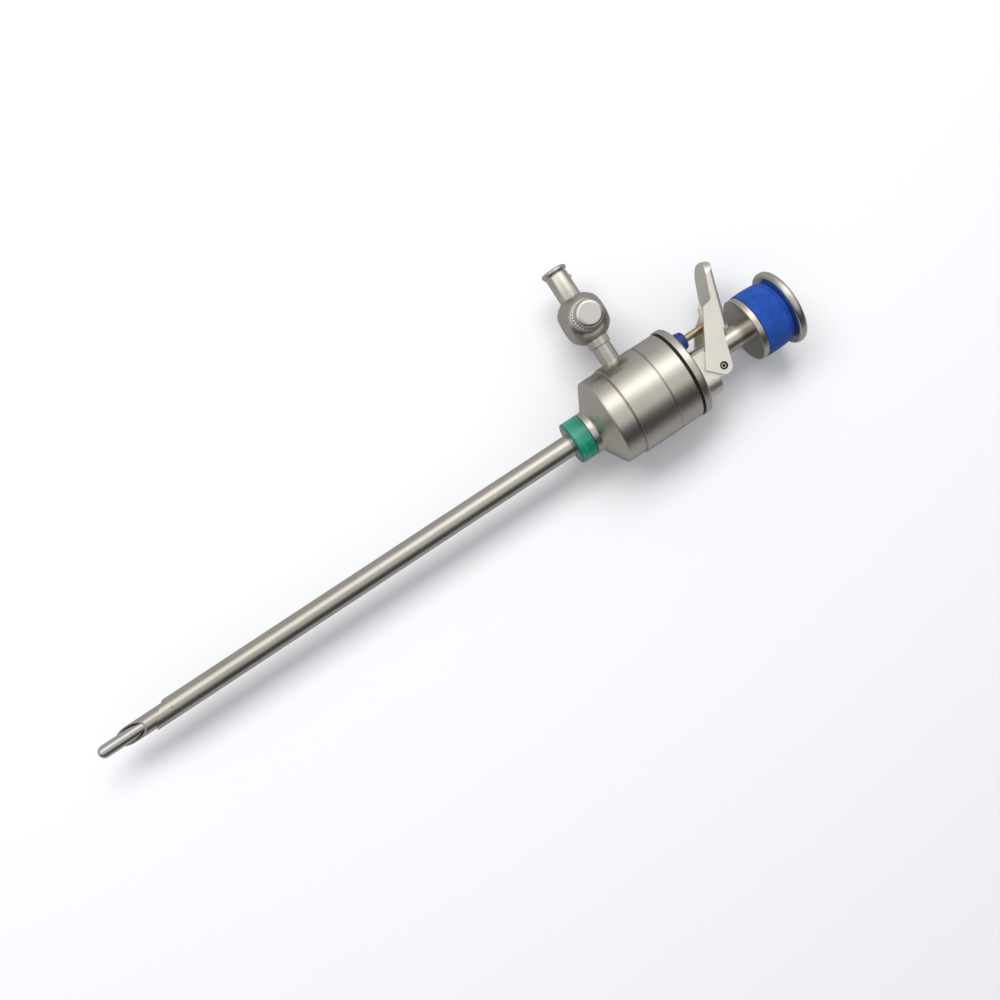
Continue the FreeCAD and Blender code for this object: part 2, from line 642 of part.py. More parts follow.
def make_hinge_bracket():
    """Saddle brazed to the cap plate beside the neck, with the knuckle for the lever pin."""
    body = new_body("hinge_bracket")
    middle = f"({CAP_BACK} + BracketLength / 2)"
    section = new_sketch(body, "bracket_section", "YZ_Plane", lift=middle)
    foot = "(BracketFoot - BracketHalfWidth)"
    draw_outline(section, [
        ("BracketTop", "-BracketHalfWidth"),
        ("BracketTop", "BracketHalfWidth"),
        (f"-{foot}", "BracketHalfWidth", "-BracketHalfWidth"),
        ("-BracketFoot", "0", "-BracketHalfWidth"),
        (f"-{foot}", "-BracketHalfWidth"),
    ])
    padded(body, "bracket_block", section, "BracketLength")
    outline = new_sketch(body, "knuckle_outline", "XY_Plane")
    draw_outline(outline, [
        (middle, "BracketTop"),
        (middle, f"-{foot}"),
        ("PinAlong", "-PinAside - KnuckleRadius", "-KnuckleRadius"),
        ("PinAlong + KnuckleRadius", "-PinAside", "-KnuckleRadius"),
        ("PinAlong + KnuckleRadius * cos(2 * LeverLean)", "-PinAside + KnuckleRadius * sin(2 * LeverLean)"),
        (f"{CAP_BACK} + BracketLength + PinRadius", "BracketTop"),
    ])
    padded(body, "bracket_knuckle", outline, "2 * BracketHalfWidth")
    saddle = new_sketch(body, "saddle_outline", "YZ_Plane")
    draw_circle(saddle, "0", "0", "NeckRadius")
    pocketed(body, "saddle", saddle)
    hole = new_sketch(body, "bracket_pin_outline", "XY_Plane")
    draw_circle(hole, "PinAlong", "-PinAside", "PinRadius")
    pocketed(body, "bracket_pin_hole", hole)
    return body


def make_lever_pin():
    """Pin pressed in the bracket: its turned-down ends stay inside the lever's holes."""
    body = new_body("lever_pin", x="PinAlong", y="-PinAside")
    end = "(LeverHalfWidth - PinRecess)"
    step = f"({end} - PinTipLength)"
    drilled = "PinTipLength"
    turned(body, "pin_profile", [
        ("0", f"-{end} + {drilled}"),
        ("PinCentreRadius", f"-{end} + {drilled}"),
        ("PinCentreRadius", f"-{end}"),
        ("PinTipRadius", f"-{end}"),
        ("PinTipRadius", f"-{step}"),
        ("PinRadius", f"-{step}"),
        ("PinRadius", step),
        ("PinTipRadius", step),
        ("PinTipRadius", end),
        ("PinCentreRadius", end),
        ("PinCentreRadius", f"{end} - {drilled}"),
        ("0", f"{end} - {drilled}"),
    ], plane="XZ_Plane", axis="V_Axis")
    return body


def make_lever():
    """Milled lever in its own frame: its hinge at the origin, the paddle along +Y and the web
    on the +X side. Both side plates straddle the neck and step in to the solid paddle."""
    body = new_body("lever", x="PinAlong", y="-PinAside", turn="-LeverLean")
    side = new_sketch(body, "side_outline", "XY_Plane")
    draw_outline(side, [
        ("LobeRadius", "0"),
        ("LobeRadius", "LeverWebStart"),
        ("LeverWebPlace", "LeverWebStart"),
        ("LeverWebPlace", "LeverLength"),
        ("PaddleEndDepth", "LeverLength"),
        ("PaddleDepth", "PaddleStart", "StepRound"),
        ("SideTopEnd", "SideTop + SideTopSlope"),
        ("-SideTopReach", "SideTop"),
        ("-SideReach", "-SideCornerDrop"),
        ("-0.6 * LobeRadius", "-0.8 * LobeRadius", "-LobeRadius"),
    ])
    block = padded(body, "lever_block", side, "2 * LeverHalfWidth")
    outer = straight_edges(
        block, lambda point: near(point.x, "LeverWebPlace") and near(abs(point.z), "LeverHalfWidth")
    )
    rounded(body, "outer_bends", block, outer, "LeverBend")
    inside = "(LeverHalfWidth - CheekThickness)"
    channel = new_sketch(body, "channel_section", "XZ_Plane", lift="-LeverWebStart - Spare")
    draw_outline(channel, [
        ("-Spare", f"-{inside}"),
        ("PaddleDepth - CheekRoot", f"-{inside}", "-CheekRoot"),
        ("PaddleDepth", f"CheekRoot - {inside}"),
        ("PaddleDepth", f"{inside} - CheekRoot", "-CheekRoot"),
        ("PaddleDepth - CheekRoot", inside),
        ("-Spare", inside),
    ])
    pocketed(body, "lever_channel", channel, "2 * Spare")
    fork = new_sketch(body, "fork_outline", "XY_Plane")
    draw_outline(fork, [
        ("-Spare", "-Spare"),
        ("Spare", "-Spare"),
        ("Spare", "LeverWebStart"),
        ("-Spare", "LeverWebStart"),
    ])
    pocketed(body, "lever_fork", fork, f"2 * {inside}")
    slant = new_sketch(body, "far_side_outline", "XY_Plane", lift="-LeverHalfWidth")
    draw_outline(slant, [
        ("-SideReach", "FarSideTop"),
        ("-FarSideReach", "FarSideTop"),
        ("FarSideDepth", "FarSideEnd"),
        ("SideTopEnd", "SideTop + SideTopSlope"),
        ("-SideReach", "SideTop + SideTopSlope"),
    ])
    pocketed(body, "far_side_slant", slant, "2 * CheekThickness")
    corners = new_sketch(body, "paddle_corner_outline", "YZ_Plane")
    for side_sign in ("", "-"):
        bulge = "-LeverEndRound" if side_sign else "LeverEndRound"
        draw_outline(corners, [
            ("LeverLength - LeverEndRound", f"{side_sign}LeverHalfWidth", bulge),
            ("LeverLength", f"{side_sign}(LeverHalfWidth - LeverEndRound)"),
            ("LeverLength + Spare", f"{side_sign}(LeverHalfWidth - LeverEndRound)"),
            ("LeverLength + Spare", f"{side_sign}(LeverHalfWidth + Spare)"),
            ("LeverLength - LeverEndRound", f"{side_sign}(LeverHalfWidth + Spare)"),
        ])
    pocketed(body, "paddle_corners", corners)
    hole = new_sketch(body, "lever_hole_outline", "XY_Plane")
    draw_circle(hole, "0", "0", "PinRadius + PinPlay")
    pocketed(body, "lever_holes", hole)
    return body


def make_push_rod():
    """Brass rod with two round ends, from behind the flap to the lever's web."""
    body = new_body("push_rod", y="RodAside")
    front = "(RodEndPlace + RodRadius)"
    turned(body, "rod_profile", [
        ("RodEndPlace", "0", "RodRadius"),
        (front, "RodRadius"),
        (ROD_REAR, "RodRadius", "RodRadius"),
        (f"{ROD_REAR} + RodRadius", "0"),
    ])
    return body


def make_rod_clip():
    """Clip snapped on the rod, which stops it under the cap plate."""
    body = new_body("rod_clip", y="RodAside")
    turned(body, "clip_profile", [
        (CLIP_FRONT, "RodRadius"),
        (CLIP_BACK, "RodRadius"),
        (CLIP_BACK, "ClipRadius"),
        (CLIP_FRONT, "ClipRadius"),
    ])
    return body


def make_rod_spring():
    """Short coil that pushes the rod and the lever back."""
    body = new_body("rod_spring", y="RodAside")
    coil(
        body, "rod_coil", f"{SEAT_BACK} + RodSpringWire", f"{CLIP_FRONT} - RodSpringWire",
        "RodSpringCoil", "RodSpringWire", "RodSpringTurns",
    )
    return body


def make_rod_bushing():
    """Blue silicone bushing that seals the rod, with its stem through the cap plate."""
    body = new_body("rod_bushing", y="RodAside")
    top = f"({CAP_BACK} + BushingHeight)"
    bore = "RodRadius + RodPlay"
    turned(body, "bushing_profile", [
        (CAP_FACE, bore),
        (top, bore),
        (top, "BushingRadius - BushingRound", "-BushingRound"),
        (f"{top} - BushingRound", "BushingRadius"),
        (CAP_BACK, "BushingRadius"),
        (CAP_BACK, "BushingStem"),
        (CAP_FACE, "BushingStem"),
    ])
    return body


def make_seat_plate():
    """Plate clamped between the housing's ledge and the spigot, with two hinge lugs."""
    body = new_body("seat_plate")
    turned(body, "seat_disc", [
        ("LedgePlace", "SeatHole"),
        (SEAT_BACK, "SeatHole"),
        (SEAT_BACK, "SpigotRadius"),
        ("LedgePlace", "SpigotRadius"),
    ])
    for side, sign in (("upper", "-"), ("lower", "")):
        lug = new_sketch(body, f"{side}_lug_outline", "XY_Plane", lift=f"{sign}(LugInside + LugOutside) / 2")
        draw_outline(lug, [
            ("LedgePlace + SeatPlateThickness / 2", "HingeAside + LugRadius"),
            ("HingeAlong", "HingeAside + LugRadius", "-LugRadius"),
            ("HingeAlong - LugRadius", "HingeAside", "-LugRadius"),
            ("HingeAlong", "HingeAside - LugRadius"),
            ("LedgePlace + SeatPlateThickness / 2", "HingeAside - LugRadius"),
        ])
        padded(body, f"{side}_lug", lug, "LugOutside - LugInside")
    hinge = new_sketch(body, "lug_hole_outline", "XY_Plane")
    draw_circle(hinge, "HingeAlong", "HingeAside", "HingePinRadius")
    pocketed(body, "lug_holes", hinge)
    guide = new_sketch(body, "rod_hole_outline", "YZ_Plane")
    draw_circle(guide, "RodAside", "0", "RodRadius + RodPlay")
    pocketed(body, "rod_hole", guide)
    return body


def make_seat_seal():
    """Silicone ring in the seat plate, on which the flap closes."""
    body = new_body("seat_seal")
    turned(body, "seat_seal_section", [
        (SEAT_FRONT, "SeatSealBore"),
        (SEAT_BACK, "SeatSealBore"),
        (SEAT_BACK, "SeatHole"),
        (SEAT_FRONT, "SeatHole"),
    ])
    return body


def make_flap_pin():
    """Pin of the flap hinge, pressed in the lugs."""
    body = new_body("flap_pin", x="HingeAlong", y="HingeAside")
    outline = new_sketch(body, "flap_pin_outline", "XY_Plane")
    draw_circle(outline, "0", "0", "HingePinRadius")
    padded(body, "flap_pin_shaft", outline, "2 * HingePinReach")
    return body


def make_flap():
    """Round flap on an arm, drawn shut about its hinge at the origin and then turned open."""
    body = new_body("flap", x="HingeAlong", y="HingeAside", turn="-FlapOpen")
    face = new_sketch(body, "flap_outline", "YZ_Plane", lift="FlapLift - FlapThickness / 2")
    draw_circle(face, "-HingeAside", "0", "FlapRadius")
    padded(body, "flap_disc", face, "FlapThickness")
    arm = new_sketch(body, "arm_outline", "XY_Plane")
    arm_end = "(FlapRadius / 2 - HingeAside)"
    back = "(FlapThickness - FlapLift)"
    draw_outline(arm, [
        (f"-{back}", arm_end),
        ("FlapLift", arm_end),
        ("FlapLift", "-sqrt(LugRadius ^ 2 - FlapLift ^ 2)", "-LugRadius"),
        ("0", "LugRadius", "-LugRadius"),
        (f"-{back}", f"-sqrt(LugRadius ^ 2 - {back} ^ 2)"),
    ])
    padded(body, "flap_arm", arm, "2 * FlapHalfArm")
    slot = new_sketch(body, "slot_outline", "XY_Plane")
    draw_outline(slot, [
        ("-2 * LugRadius", "2 * LugRadius"),
        ("-2 * LugRadius", "-FlapSlotLength"),
        ("2 * LugRadius", "-FlapSlotLength"),
        ("2 * LugRadius", "2 * LugRadius"),
    ])
    pocketed(body, "spring_slot", slot, "2 * FlapSlot")
    hole = new_sketch(body, "flap_hole_outline", "XY_Plane")
    draw_circle(hole, "0", "0", "HingePinRadius + HingePlay")
    pocketed(body, "flap_hole", hole)
    return body


def make_flap_spring():
    """Torsion spring on the flap pin: three turns and two straight legs, one to the seat
    plate and one behind the flap. Part's own sweep fits it best."""
    radius = value("FlapSpringCoil")
    wire = value("FlapSpringWire")
    pitch = value("FlapSpringPitch")
    opened = math.radians(value("FlapOpen"))
    turns = value("FlapSpringTurns") + 0.5 - value("FlapOpen") / 360
    height = pitch * turns
    along_arm = FreeCAD.Vector(-math.sin(opened), -math.cos(opened), 0)
    out_of_flap = FreeCAD.Vector(-math.cos(opened), math.sin(opened), 0)
    fixed_start = FreeCAD.Vector(radius, 0, -height / 2)
    free_start = out_of_flap * radius + FreeCAD.Vector(0, 0, height / 2)
    plate_gap = value("LedgePlace - HingeAlong - SpringLegGap") - wire - radius
    fixed_end = fixed_start + FreeCAD.Vector(plate_gap, -value("FlapSpringFixedLeg"), 0)
    flap_gap = radius - wire - value("FlapThickness - FlapLift + SpringLegGap")
    free_end = free_start + along_arm * value("FlapSpringFreeLeg") - out_of_flap * flap_gap
    helix = Part.makeHelix(pitch, height, radius)
    helix.translate(FreeCAD.Vector(0, 0, -height / 2))
    fixed_leg = Part.makeLine(fixed_end, fixed_start)
    free_leg = Part.makeLine(free_start, free_end)
    spine = Part.Wire([fixed_leg, *helix.Edges, free_leg])
    circle = Part.Circle(fixed_end, fixed_start - fixed_end, wire)
    corners = [circle.value(math.tau * corner / WIRE_SIDES) for corner in range(WIRE_SIDES)]
    section = Part.makePolygon([*corners, corners[0]])
    coils = spine.makePipeShell([section], True, True)
    feature = doc.addObject("Part::Feature", "flap_spring")
    feature.Label = "flap_spring"
    feature.Shape = coils
    hinge = FreeCAD.Vector(value(f"{NOSE_FACE} + HingeAlong"), value("HingeAside"), 0)
    feature.Placement = FreeCAD.Placement(hinge, FreeCAD.Rotation())
    return feature


def make_gas_pipe():
    """Pipe from the housing's wall into the tap."""
    body = new_body("gas_pipe", x="TapAlong")
    end = f"(TapAside - {BALL_SOCKET} + PipeDepth)"
    turned(body, "pipe_wall", [
        ("PipeBore", "PipeEnd"),
        ("PipeRadius", "PipeEnd"),
        ("PipeRadius", end),
        ("PipeBore", end),
    ], axis="V_Axis")
    return body


def make_tap_collar():
    """Collar soldered over the pipe, against the tap's body."""
    body = new_body("tap_collar", x="TapAlong")
    end = f"(TapAside - {BALL_SOCKET} + SocketDepth)"
    turned(body, "collar_section", [
        ("PipeRadius", "PipeCollarStart"),
        ("PipeCollarRadius", "PipeCollarStart"),
        ("PipeCollarRadius", end),
        ("PipeRadius", end),
    ], axis="V_Axis")
    return body


def primitive(kind, name, place, axis=None, angle=0, **sizes):
    """A Part primitive at place, x from the nose, with its sizes tied to the sheet."""
    shape = doc.addObject(f"Part::{kind}", name)
    turn = FreeCAD.Rotation(FreeCAD.Vector(*axis), angle) if axis else FreeCAD.Rotation()
    shape.Placement = FreeCAD.Placement(FreeCAD.Vector(0, 0, 0), turn)
    bind(shape, Base_x=f"{NOSE_FACE} + {place[0]}", Base_y=place[1], Base_z=place[2], **sizes)
    return shape


def make_tap_body():
    """Ball with four flats, sockets for the pipe and the port, and a tapered hole."""
    x, y = "TapAlong", "TapAside"
    ball = primitive("Sphere", "tap_ball", (x, y, "0"), Radius="BallRadius")
    block = primitive(
        "Box", "tap_flats", (f"{x} - BallFlat", f"{y} - BallRadius", "-BallFlat"),
        Length="2 * BallFlat", Width="2 * BallRadius", Height="2 * BallFlat",
    )
    flatted = doc.addObject("Part::Common", "flatted_ball")
    flatted.Base = ball
    flatted.Tool = block
    along_y = {"axis": (1, 0, 0), "angle": -90}
    collar_socket = primitive(
        "Cylinder", "collar_socket", (x, f"{y} - BallRadius", "0"), **along_y,
        Radius="PipeCollarRadius", Height=f"BallRadius - {BALL_SOCKET} + SocketDepth",
    )
    pipe_socket = primitive(
        "Cylinder", "pipe_socket", (x, f"{y} - BallRadius", "0"), **along_y,
        Radius="PipeRadius", Height=f"BallRadius - {BALL_SOCKET} + PipeDepth",
    )
    port_socket = primitive(
        "Cylinder", "port_socket", (x, f"{y} + {BALL_SOCKET} - SocketDepth", "0"), **along_y,
        Radius="PortRadius", Height=f"BallRadius - {BALL_SOCKET} + SocketDepth",
    )
    gas_way = primitive(
        "Cylinder", "gas_way", (x, f"{y} - BallRadius", "0"), **along_y,
        Radius="GasBore", Height="2 * BallRadius",
    )
    key_hole = primitive(
        "Cone", "key_hole", (x, y, "-BallFlat"), Height="2 * BallFlat",
        Radius1="KeyFootRadius + KeyPlay", Radius2="KeyTopRadius + KeyPlay",
    )
    holes = doc.addObject("Part::MultiFuse", "tap_holes")
    holes.Shapes = [collar_socket, pipe_socket, port_socket, gas_way, key_hole]
    body = doc.addObject("Part::Cut", "tap_body")
    body.Label = "tap_body"
    body.Base = flatted
    body.Tool = holes
    return body


def make_tap_key():
    """Tapered key with a cross hole, in the tap's body."""
    body = new_body("tap_key", x="TapAlong", y="TapAside")
    turned(body, "key_profile", [
        ("0", "-KeyStubFoot"),
        ("KeyStubRadius", "-KeyStubFoot"),
        ("KeyStubRadius", "-BallFlat"),
        ("KeyFootRadius", "-BallFlat"),
        ("KeyTopRadius", "BallFlat"),
        ("KeyStubRadius", "BallFlat"),
        ("KeyStubRadius", "KeyStubTop"),
        ("0", "KeyStubTop"),
    ], plane="XZ_Plane", axis="V_Axis")
    hole = new_sketch(body, "key_way_outline", "XZ_Plane")
    draw_circle(hole, "0", "0", "GasBore")
    pocketed(body, "key_way", hole)
    return body


def make_tap_knob():
    """Round knob with a thin skirt, on the key's upper end."""
    body = new_body("tap_knob", x="TapAlong", y="TapAside")
    foot = "(BallFlat + KnobGap)"
    turned(body, "knob_profile", [
        ("KeyStubRadius", foot),
        ("KnobSkirtRadius", foot),
        ("KnobSkirtRadius", f"{foot} + KnobSkirtHeight"),
        ("KnobRadius", f"{foot} + KnobSkirtHeight"),
        ("KnobRadius", "KnobTop - KnobRound", "-KnobRound"),
        ("KnobRadius - KnobRound", "KnobTop"),
        ("0", "KnobTop"),
        ("0", "KeyStubTop"),
        ("KeyStubRadius", "KeyStubTop"),
    ], plane="XZ_Plane", axis="V_Axis")
    return body


def make_tap_washer():
    """Spring washer between the body and the nut."""
    body = new_body("tap_washer", x="TapAlong", y="TapAside")
    top = "-(BallFlat + WasherGap)"
    turned(body, "washer_profile", [
        ("KeyStubRadius", f"{top} - WasherThickness"),
        ("WasherRadius", f"{top} - WasherThickness"),
        ("WasherRadius", top),
        ("KeyStubRadius", top),
    ], plane="XZ_Plane", axis="V_Axis")
    return body


def make_tap_nut():
    """Hexagon nut that holds the key in."""
    top = "-(BallFlat + WasherGap + WasherThickness)"
    place = ("TapAlong", "TapAside", f"{top} - NutHeight")
    prism = primitive(
        "Prism", "nut_blank", place, Circumradius="NutCornerRadius", Height="NutHeight"
    )
    prism.Polygon = 6
    bore = primitive("Cylinder", "nut_bore", place, Radius="KeyStubRadius", Height="NutHeight")
    nut = doc.addObject("Part::Cut", "tap_nut")
    nut.Label = "tap_nut"
    nut.Base = prism
    nut.Tool = bore
    return nut


def make_luer_port():
    """Female Luer lock port with a 6 % tapered bore and two locking lugs at its mouth."""
    body = new_body("luer_port", x="TapAlong")
    start = f"(TapAside + {BALL_SOCKET} - SocketDepth)"
    turned(body, "port_outside", [
        ("0", start),
        ("PortRadius", start),
        ("PortRadius", "PortEnd"),
        ("0", "PortEnd"),
    ], axis="V_Axis")
    lugs = new_sketch(body, "lug_outline", "XZ_Plane", lift="PortLugLength / 2 - PortEnd")
    reach = "sqrt(PortLugRadius ^ 2 - PortLugHalfWidth ^ 2)"
    draw_outline(lugs, [
        (f"-{reach}", "-PortLugHalfWidth"),
        (reach, "-PortLugHalfWidth", "-PortLugRadius"),
        (reach, "PortLugHalfWidth"),
        (f"-{reach}", "PortLugHalfWidth", "-PortLugRadius"),
    ])
    padded(body, "port_lugs", lugs, "PortLugLength")
    turned(body, "port_bore", [
        ("0", start),
        ("GasBore", start),
        ("GasBore", "PortEnd - PortDepth"),
        ("PortMouth - PortDepth * tan(PortTaper)", "PortEnd - PortDepth"),
        ("PortMouth", "PortEnd"),
        ("0", "PortEnd"),
    ], kind="Groove", axis="V_Axis")
    return body


def make_obturator_tube():
    """Hollow obturator with a sharp bevel that faces up, and a wider rear bore."""
    body = new_body("obturator_tube")
    turned(body, "obturator_wall", [
        ("-BevelHeel - BevelLength", "TipBore"),
        ("TipBoreLength - BevelHeel", "TipBore"),
        ("TipBoreLength - BevelHeel", "StyletBore"),
        ("SpringBoreStart", "StyletBore"),
        ("SpringBoreStart", "SpringBore"),
        (HEAD_BACK, "SpringBore"),
        (HEAD_BACK, "ObturatorRadius"),
        ("-BevelHeel - BevelLength", "ObturatorRadius"),
    ])
    wedge = new_sketch(body, "bevel_outline", "XZ_Plane")
    draw_outline(wedge, [
        ("-BevelHeel - BevelLength", "-ObturatorRadius"),
        ("-BevelHeel", "ObturatorRadius"),
        ("-BevelHeel", "Spare"),
        ("-BevelHeel - BevelLength - Spare", "Spare"),
        ("-BevelHeel - BevelLength - Spare", "-ObturatorRadius"),
    ])
    pocketed(body, "bevel", wedge)
    return body


def make_obturator_head():
    """Round head that the hand pushes, with a rounded rim."""
    body = new_body("obturator_head")
    disc = turned(body, "head_disc", [
        (SEAL_BACK, "ObturatorRadius"),
        (HEAD_BACK, "ObturatorRadius"),
        (HEAD_BACK, "HeadRadius"),
        (SEAL_BACK, "HeadRadius"),
    ])
    edges = rings_at(disc, SEAL_BACK, "HeadRadius") + rings_at(disc, HEAD_BACK, "HeadRadius")
    rounded(body, "head_rim", disc, edges, "HeadRound")
    return body


def make_head_plug():
    """Plug that closes the obturator's tube and backs the stylet's spring."""
    body = new_body("head_plug")
    turned(body, "plug_section", [
        (PLUG_FRONT, "0"),
        (HEAD_BACK, "0"),
        (HEAD_BACK, "SpringBore"),
        (PLUG_FRONT, "SpringBore"),
    ])
    return body


def make_stylet():
    """Blunt round-ended rod that springs back out of the obturator."""
    body = new_body("stylet")
    turned(body, "stylet_profile", [
        ("-StyletReach", "0", "StyletRadius"),
        ("-StyletReach + StyletRadius", "StyletRadius"),
        ("SpringBoreStart", "StyletRadius"),
        ("SpringBoreStart", "StyletTailRadius"),
        ("SpringBoreStart + StyletTailLength", "StyletTailRadius"),
        ("SpringBoreStart + StyletTailLength", "0"),
    ])
    return body


def make_stylet_collar():
    """Collar pressed on the stylet's tail; it stops on the tube's shoulder."""
    body = new_body("stylet_collar")
    turned(body, "stylet_collar_section", [
        ("SpringBoreStart", "StyletTailRadius"),
        (COLLAR_BACK, "StyletTailRadius"),
        (COLLAR_BACK, "StyletCollarRadius"),
        ("SpringBoreStart", "StyletCollarRadius"),
    ])
    return body


def make_stylet_spring():
    """Coil spring between the collar and the head plug."""
    body = new_body("stylet_spring")
    coil(
        body, "stylet_coil", f"{COLLAR_BACK} + StyletSpringWire", f"{PLUG_FRONT} - StyletSpringWire",
        "StyletSpringCoil", "StyletSpringWire", "StyletSpringTurns",
    )
    return body


PIECES = [
    make_cannula_tube(),
    make_size_ring(),
    make_valve_housing(),
    make_housing_seal_ring(),
    make_cap_plate(),
    make_neck_tube(),
    make_neck_flange(),
    make_seal_cap(),
    make_hinge_bracket(),
    make_lever_pin(),
    make_lever(),
    make_push_rod(),
    make_rod_clip(),
    make_rod_spring(),
    make_rod_bushing(),
    make_seat_plate(),
    make_seat_seal(),
    make_flap_pin(),
    make_flap(),
    make_flap_spring(),
    make_gas_pipe(),
    make_tap_collar(),
    make_tap_body(),
    make_tap_key(),
    make_tap_knob(),
    make_tap_washer(),
    make_tap_nut(),
    make_luer_port(),
    make_obturator_tube(),
    make_obturator_head(),
    make_head_plug(),
    make_stylet(),
    make_stylet_collar(),
    make_stylet_spring(),
]

doc.recompute()

failed = [item.Name for item in doc.Objects if {"Invalid", "Error"} & set(item.State)]
for piece in PIECES:
    if piece.Shape.isNull() or not piece.Shape.isValid() or len(piece.Shape.Solids) != 1:
        failed.append(f"{piece.Label}: no single valid solid")
if failed:
    raise RuntimeError("these did not build: " + ", ".join(failed))

for piece in PIECES:
    piece.Shape.exportStep(f"parts/{piece.Label}.step")
    box = piece.Shape.BoundBox
    print(
        f"{piece.Label:18s} volume {piece.Shape.Volume:9.2f} "
        f"x {box.XMin:8.2f} {box.XMax:8.2f} y {box.YMin:7.2f} {box.YMax:7.2f} "
        f"z {box.ZMin:7.2f} {box.ZMax:7.2f}"
    )
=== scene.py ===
"""Looks of a reusable 5.5 mm laparoscopic trocar: finishes, fine shapes, floor, lights and camera.

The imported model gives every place. +X runs from the tip to the obturator's head, +Y points at the
gas tap and +Z points up along the tap's key, towards the camera.
"""
import json
import math

import bmesh
import bpy
import numpy as np
from mathutils import Matrix, Vector


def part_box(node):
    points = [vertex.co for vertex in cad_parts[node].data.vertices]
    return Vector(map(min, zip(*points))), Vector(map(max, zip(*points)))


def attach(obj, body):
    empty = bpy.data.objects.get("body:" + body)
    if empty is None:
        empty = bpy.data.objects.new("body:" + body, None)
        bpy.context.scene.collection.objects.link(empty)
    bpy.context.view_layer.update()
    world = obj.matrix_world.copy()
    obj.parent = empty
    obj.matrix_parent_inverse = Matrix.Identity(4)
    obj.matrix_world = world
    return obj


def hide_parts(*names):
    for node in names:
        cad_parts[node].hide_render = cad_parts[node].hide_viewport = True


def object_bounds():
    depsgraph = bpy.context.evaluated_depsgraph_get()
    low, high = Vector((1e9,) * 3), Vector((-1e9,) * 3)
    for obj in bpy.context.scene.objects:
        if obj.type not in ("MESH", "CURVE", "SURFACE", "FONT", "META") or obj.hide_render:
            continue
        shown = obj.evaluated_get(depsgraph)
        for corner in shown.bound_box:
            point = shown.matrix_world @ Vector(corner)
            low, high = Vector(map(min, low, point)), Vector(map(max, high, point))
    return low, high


bl_info = {
    "name": "Laparoscopic Trocar",
    "version": (1, 0, 0),
    "blender": (4, 5, 0),
    "location": "View3D > Sidebar > Trocar",
    "description": "Dresses the trocar's frame with finishes and fine shapes, and sets its stage",
    "category": "Object",
}

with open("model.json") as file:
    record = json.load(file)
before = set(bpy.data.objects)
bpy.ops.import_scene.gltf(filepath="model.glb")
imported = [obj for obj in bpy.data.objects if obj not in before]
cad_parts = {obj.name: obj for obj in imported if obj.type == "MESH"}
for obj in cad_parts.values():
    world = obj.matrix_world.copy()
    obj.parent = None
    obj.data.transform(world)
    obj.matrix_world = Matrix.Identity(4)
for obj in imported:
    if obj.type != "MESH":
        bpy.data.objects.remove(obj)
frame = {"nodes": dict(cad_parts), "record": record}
NODES = frame["nodes"]
CAD_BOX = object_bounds()

MM = 0.001
AXES = {"X": (0, 1, 2), "Y": (1, 2, 0), "Z": (2, 0, 1)}
BODIES = {
    node: body for body, nodes in frame["record"]["behaviour"]["bodies"].items() for node in nodes
}
SLOTS = {entry["node"]: entry["material_slot"] for entry in frame["record"]["subparts"]}

# Places in millimetres that several pieces share
TAP_X, TAP_Y = 23.6, 29.07
ROD_Y = 7.6
PIN_X, PIN_Y = 50.0, -5.1

# Faces along the instrument's axis, in millimetres, where pieces meet
HOUSING_FRONT, HOUSING_BACK = 5.6, 37.6
CAP_FRONT, CAP_BACK = 38.35, 40.85
FLANGE_FRONT, FLANGE_BACK = 62.6, 64.6
SEAL_CAP_BACK = 74.5
HEAD_BACK = 77.2

# The tap's ball body and knob, in millimetres
BALL_RADIUS, FLAT_DISTANCE = 7.85, 6.2
SKIRT_FOOT, SKIRT_RADIUS = 6.3, 4.85
KNOB_TOP, KNOB_RADIUS = 10.56, 4.3

# Points closer than this, in metres, are merged: in a node's copy, and in a new piece
MERGED_CUT, MERGED_NEW = 2e-6, 1e-7


def length(name, text, default):
    """A length property in metres."""
    return bpy.props.FloatProperty(
        name=name, description=text, default=default, min=0.0, unit="LENGTH", precision=5
    )


def colour(name, text, default):
    """A colour property."""
    return bpy.props.FloatVectorProperty(
        name=name, description=text, default=default, subtype="COLOR", size=3, min=0.0, max=1.0
    )


def share(name, text, default, top=1.0):
    """A plain number from 0 to top."""
    return bpy.props.FloatProperty(name=name, description=text, default=default, min=0.0, max=top)


class TrocarSizes(bpy.types.PropertyGroup):
    """Sizes of the fine shapes that the frame leaves out."""

    edge: length("Turned edge", "Rounding of the sharp turned edges", 0.0002)
    milled_edge: length("Milled edge", "Rounding of the edges of lever and bracket", 0.00022)
    tube_edge: length("Tube edge", "Rounding of the tubes' ends", 0.00009)
    knob_round: length("Knob rounding", "Large rounding on top of the knob", 0.0019)
    tooth_depth: length("Knob tooth", "Depth of the teeth round the knob's skirt", 0.00024)
    knob_teeth: bpy.props.IntProperty(
        name="Knob teeth", description="Teeth round the knob's skirt", default=30, min=6, max=90
    )
    thread_height: length("Thread height", "How far the ribs stand out", 0.00072)
    thread_width: length("Thread width", "Width of a rib at its foot", 0.0015)


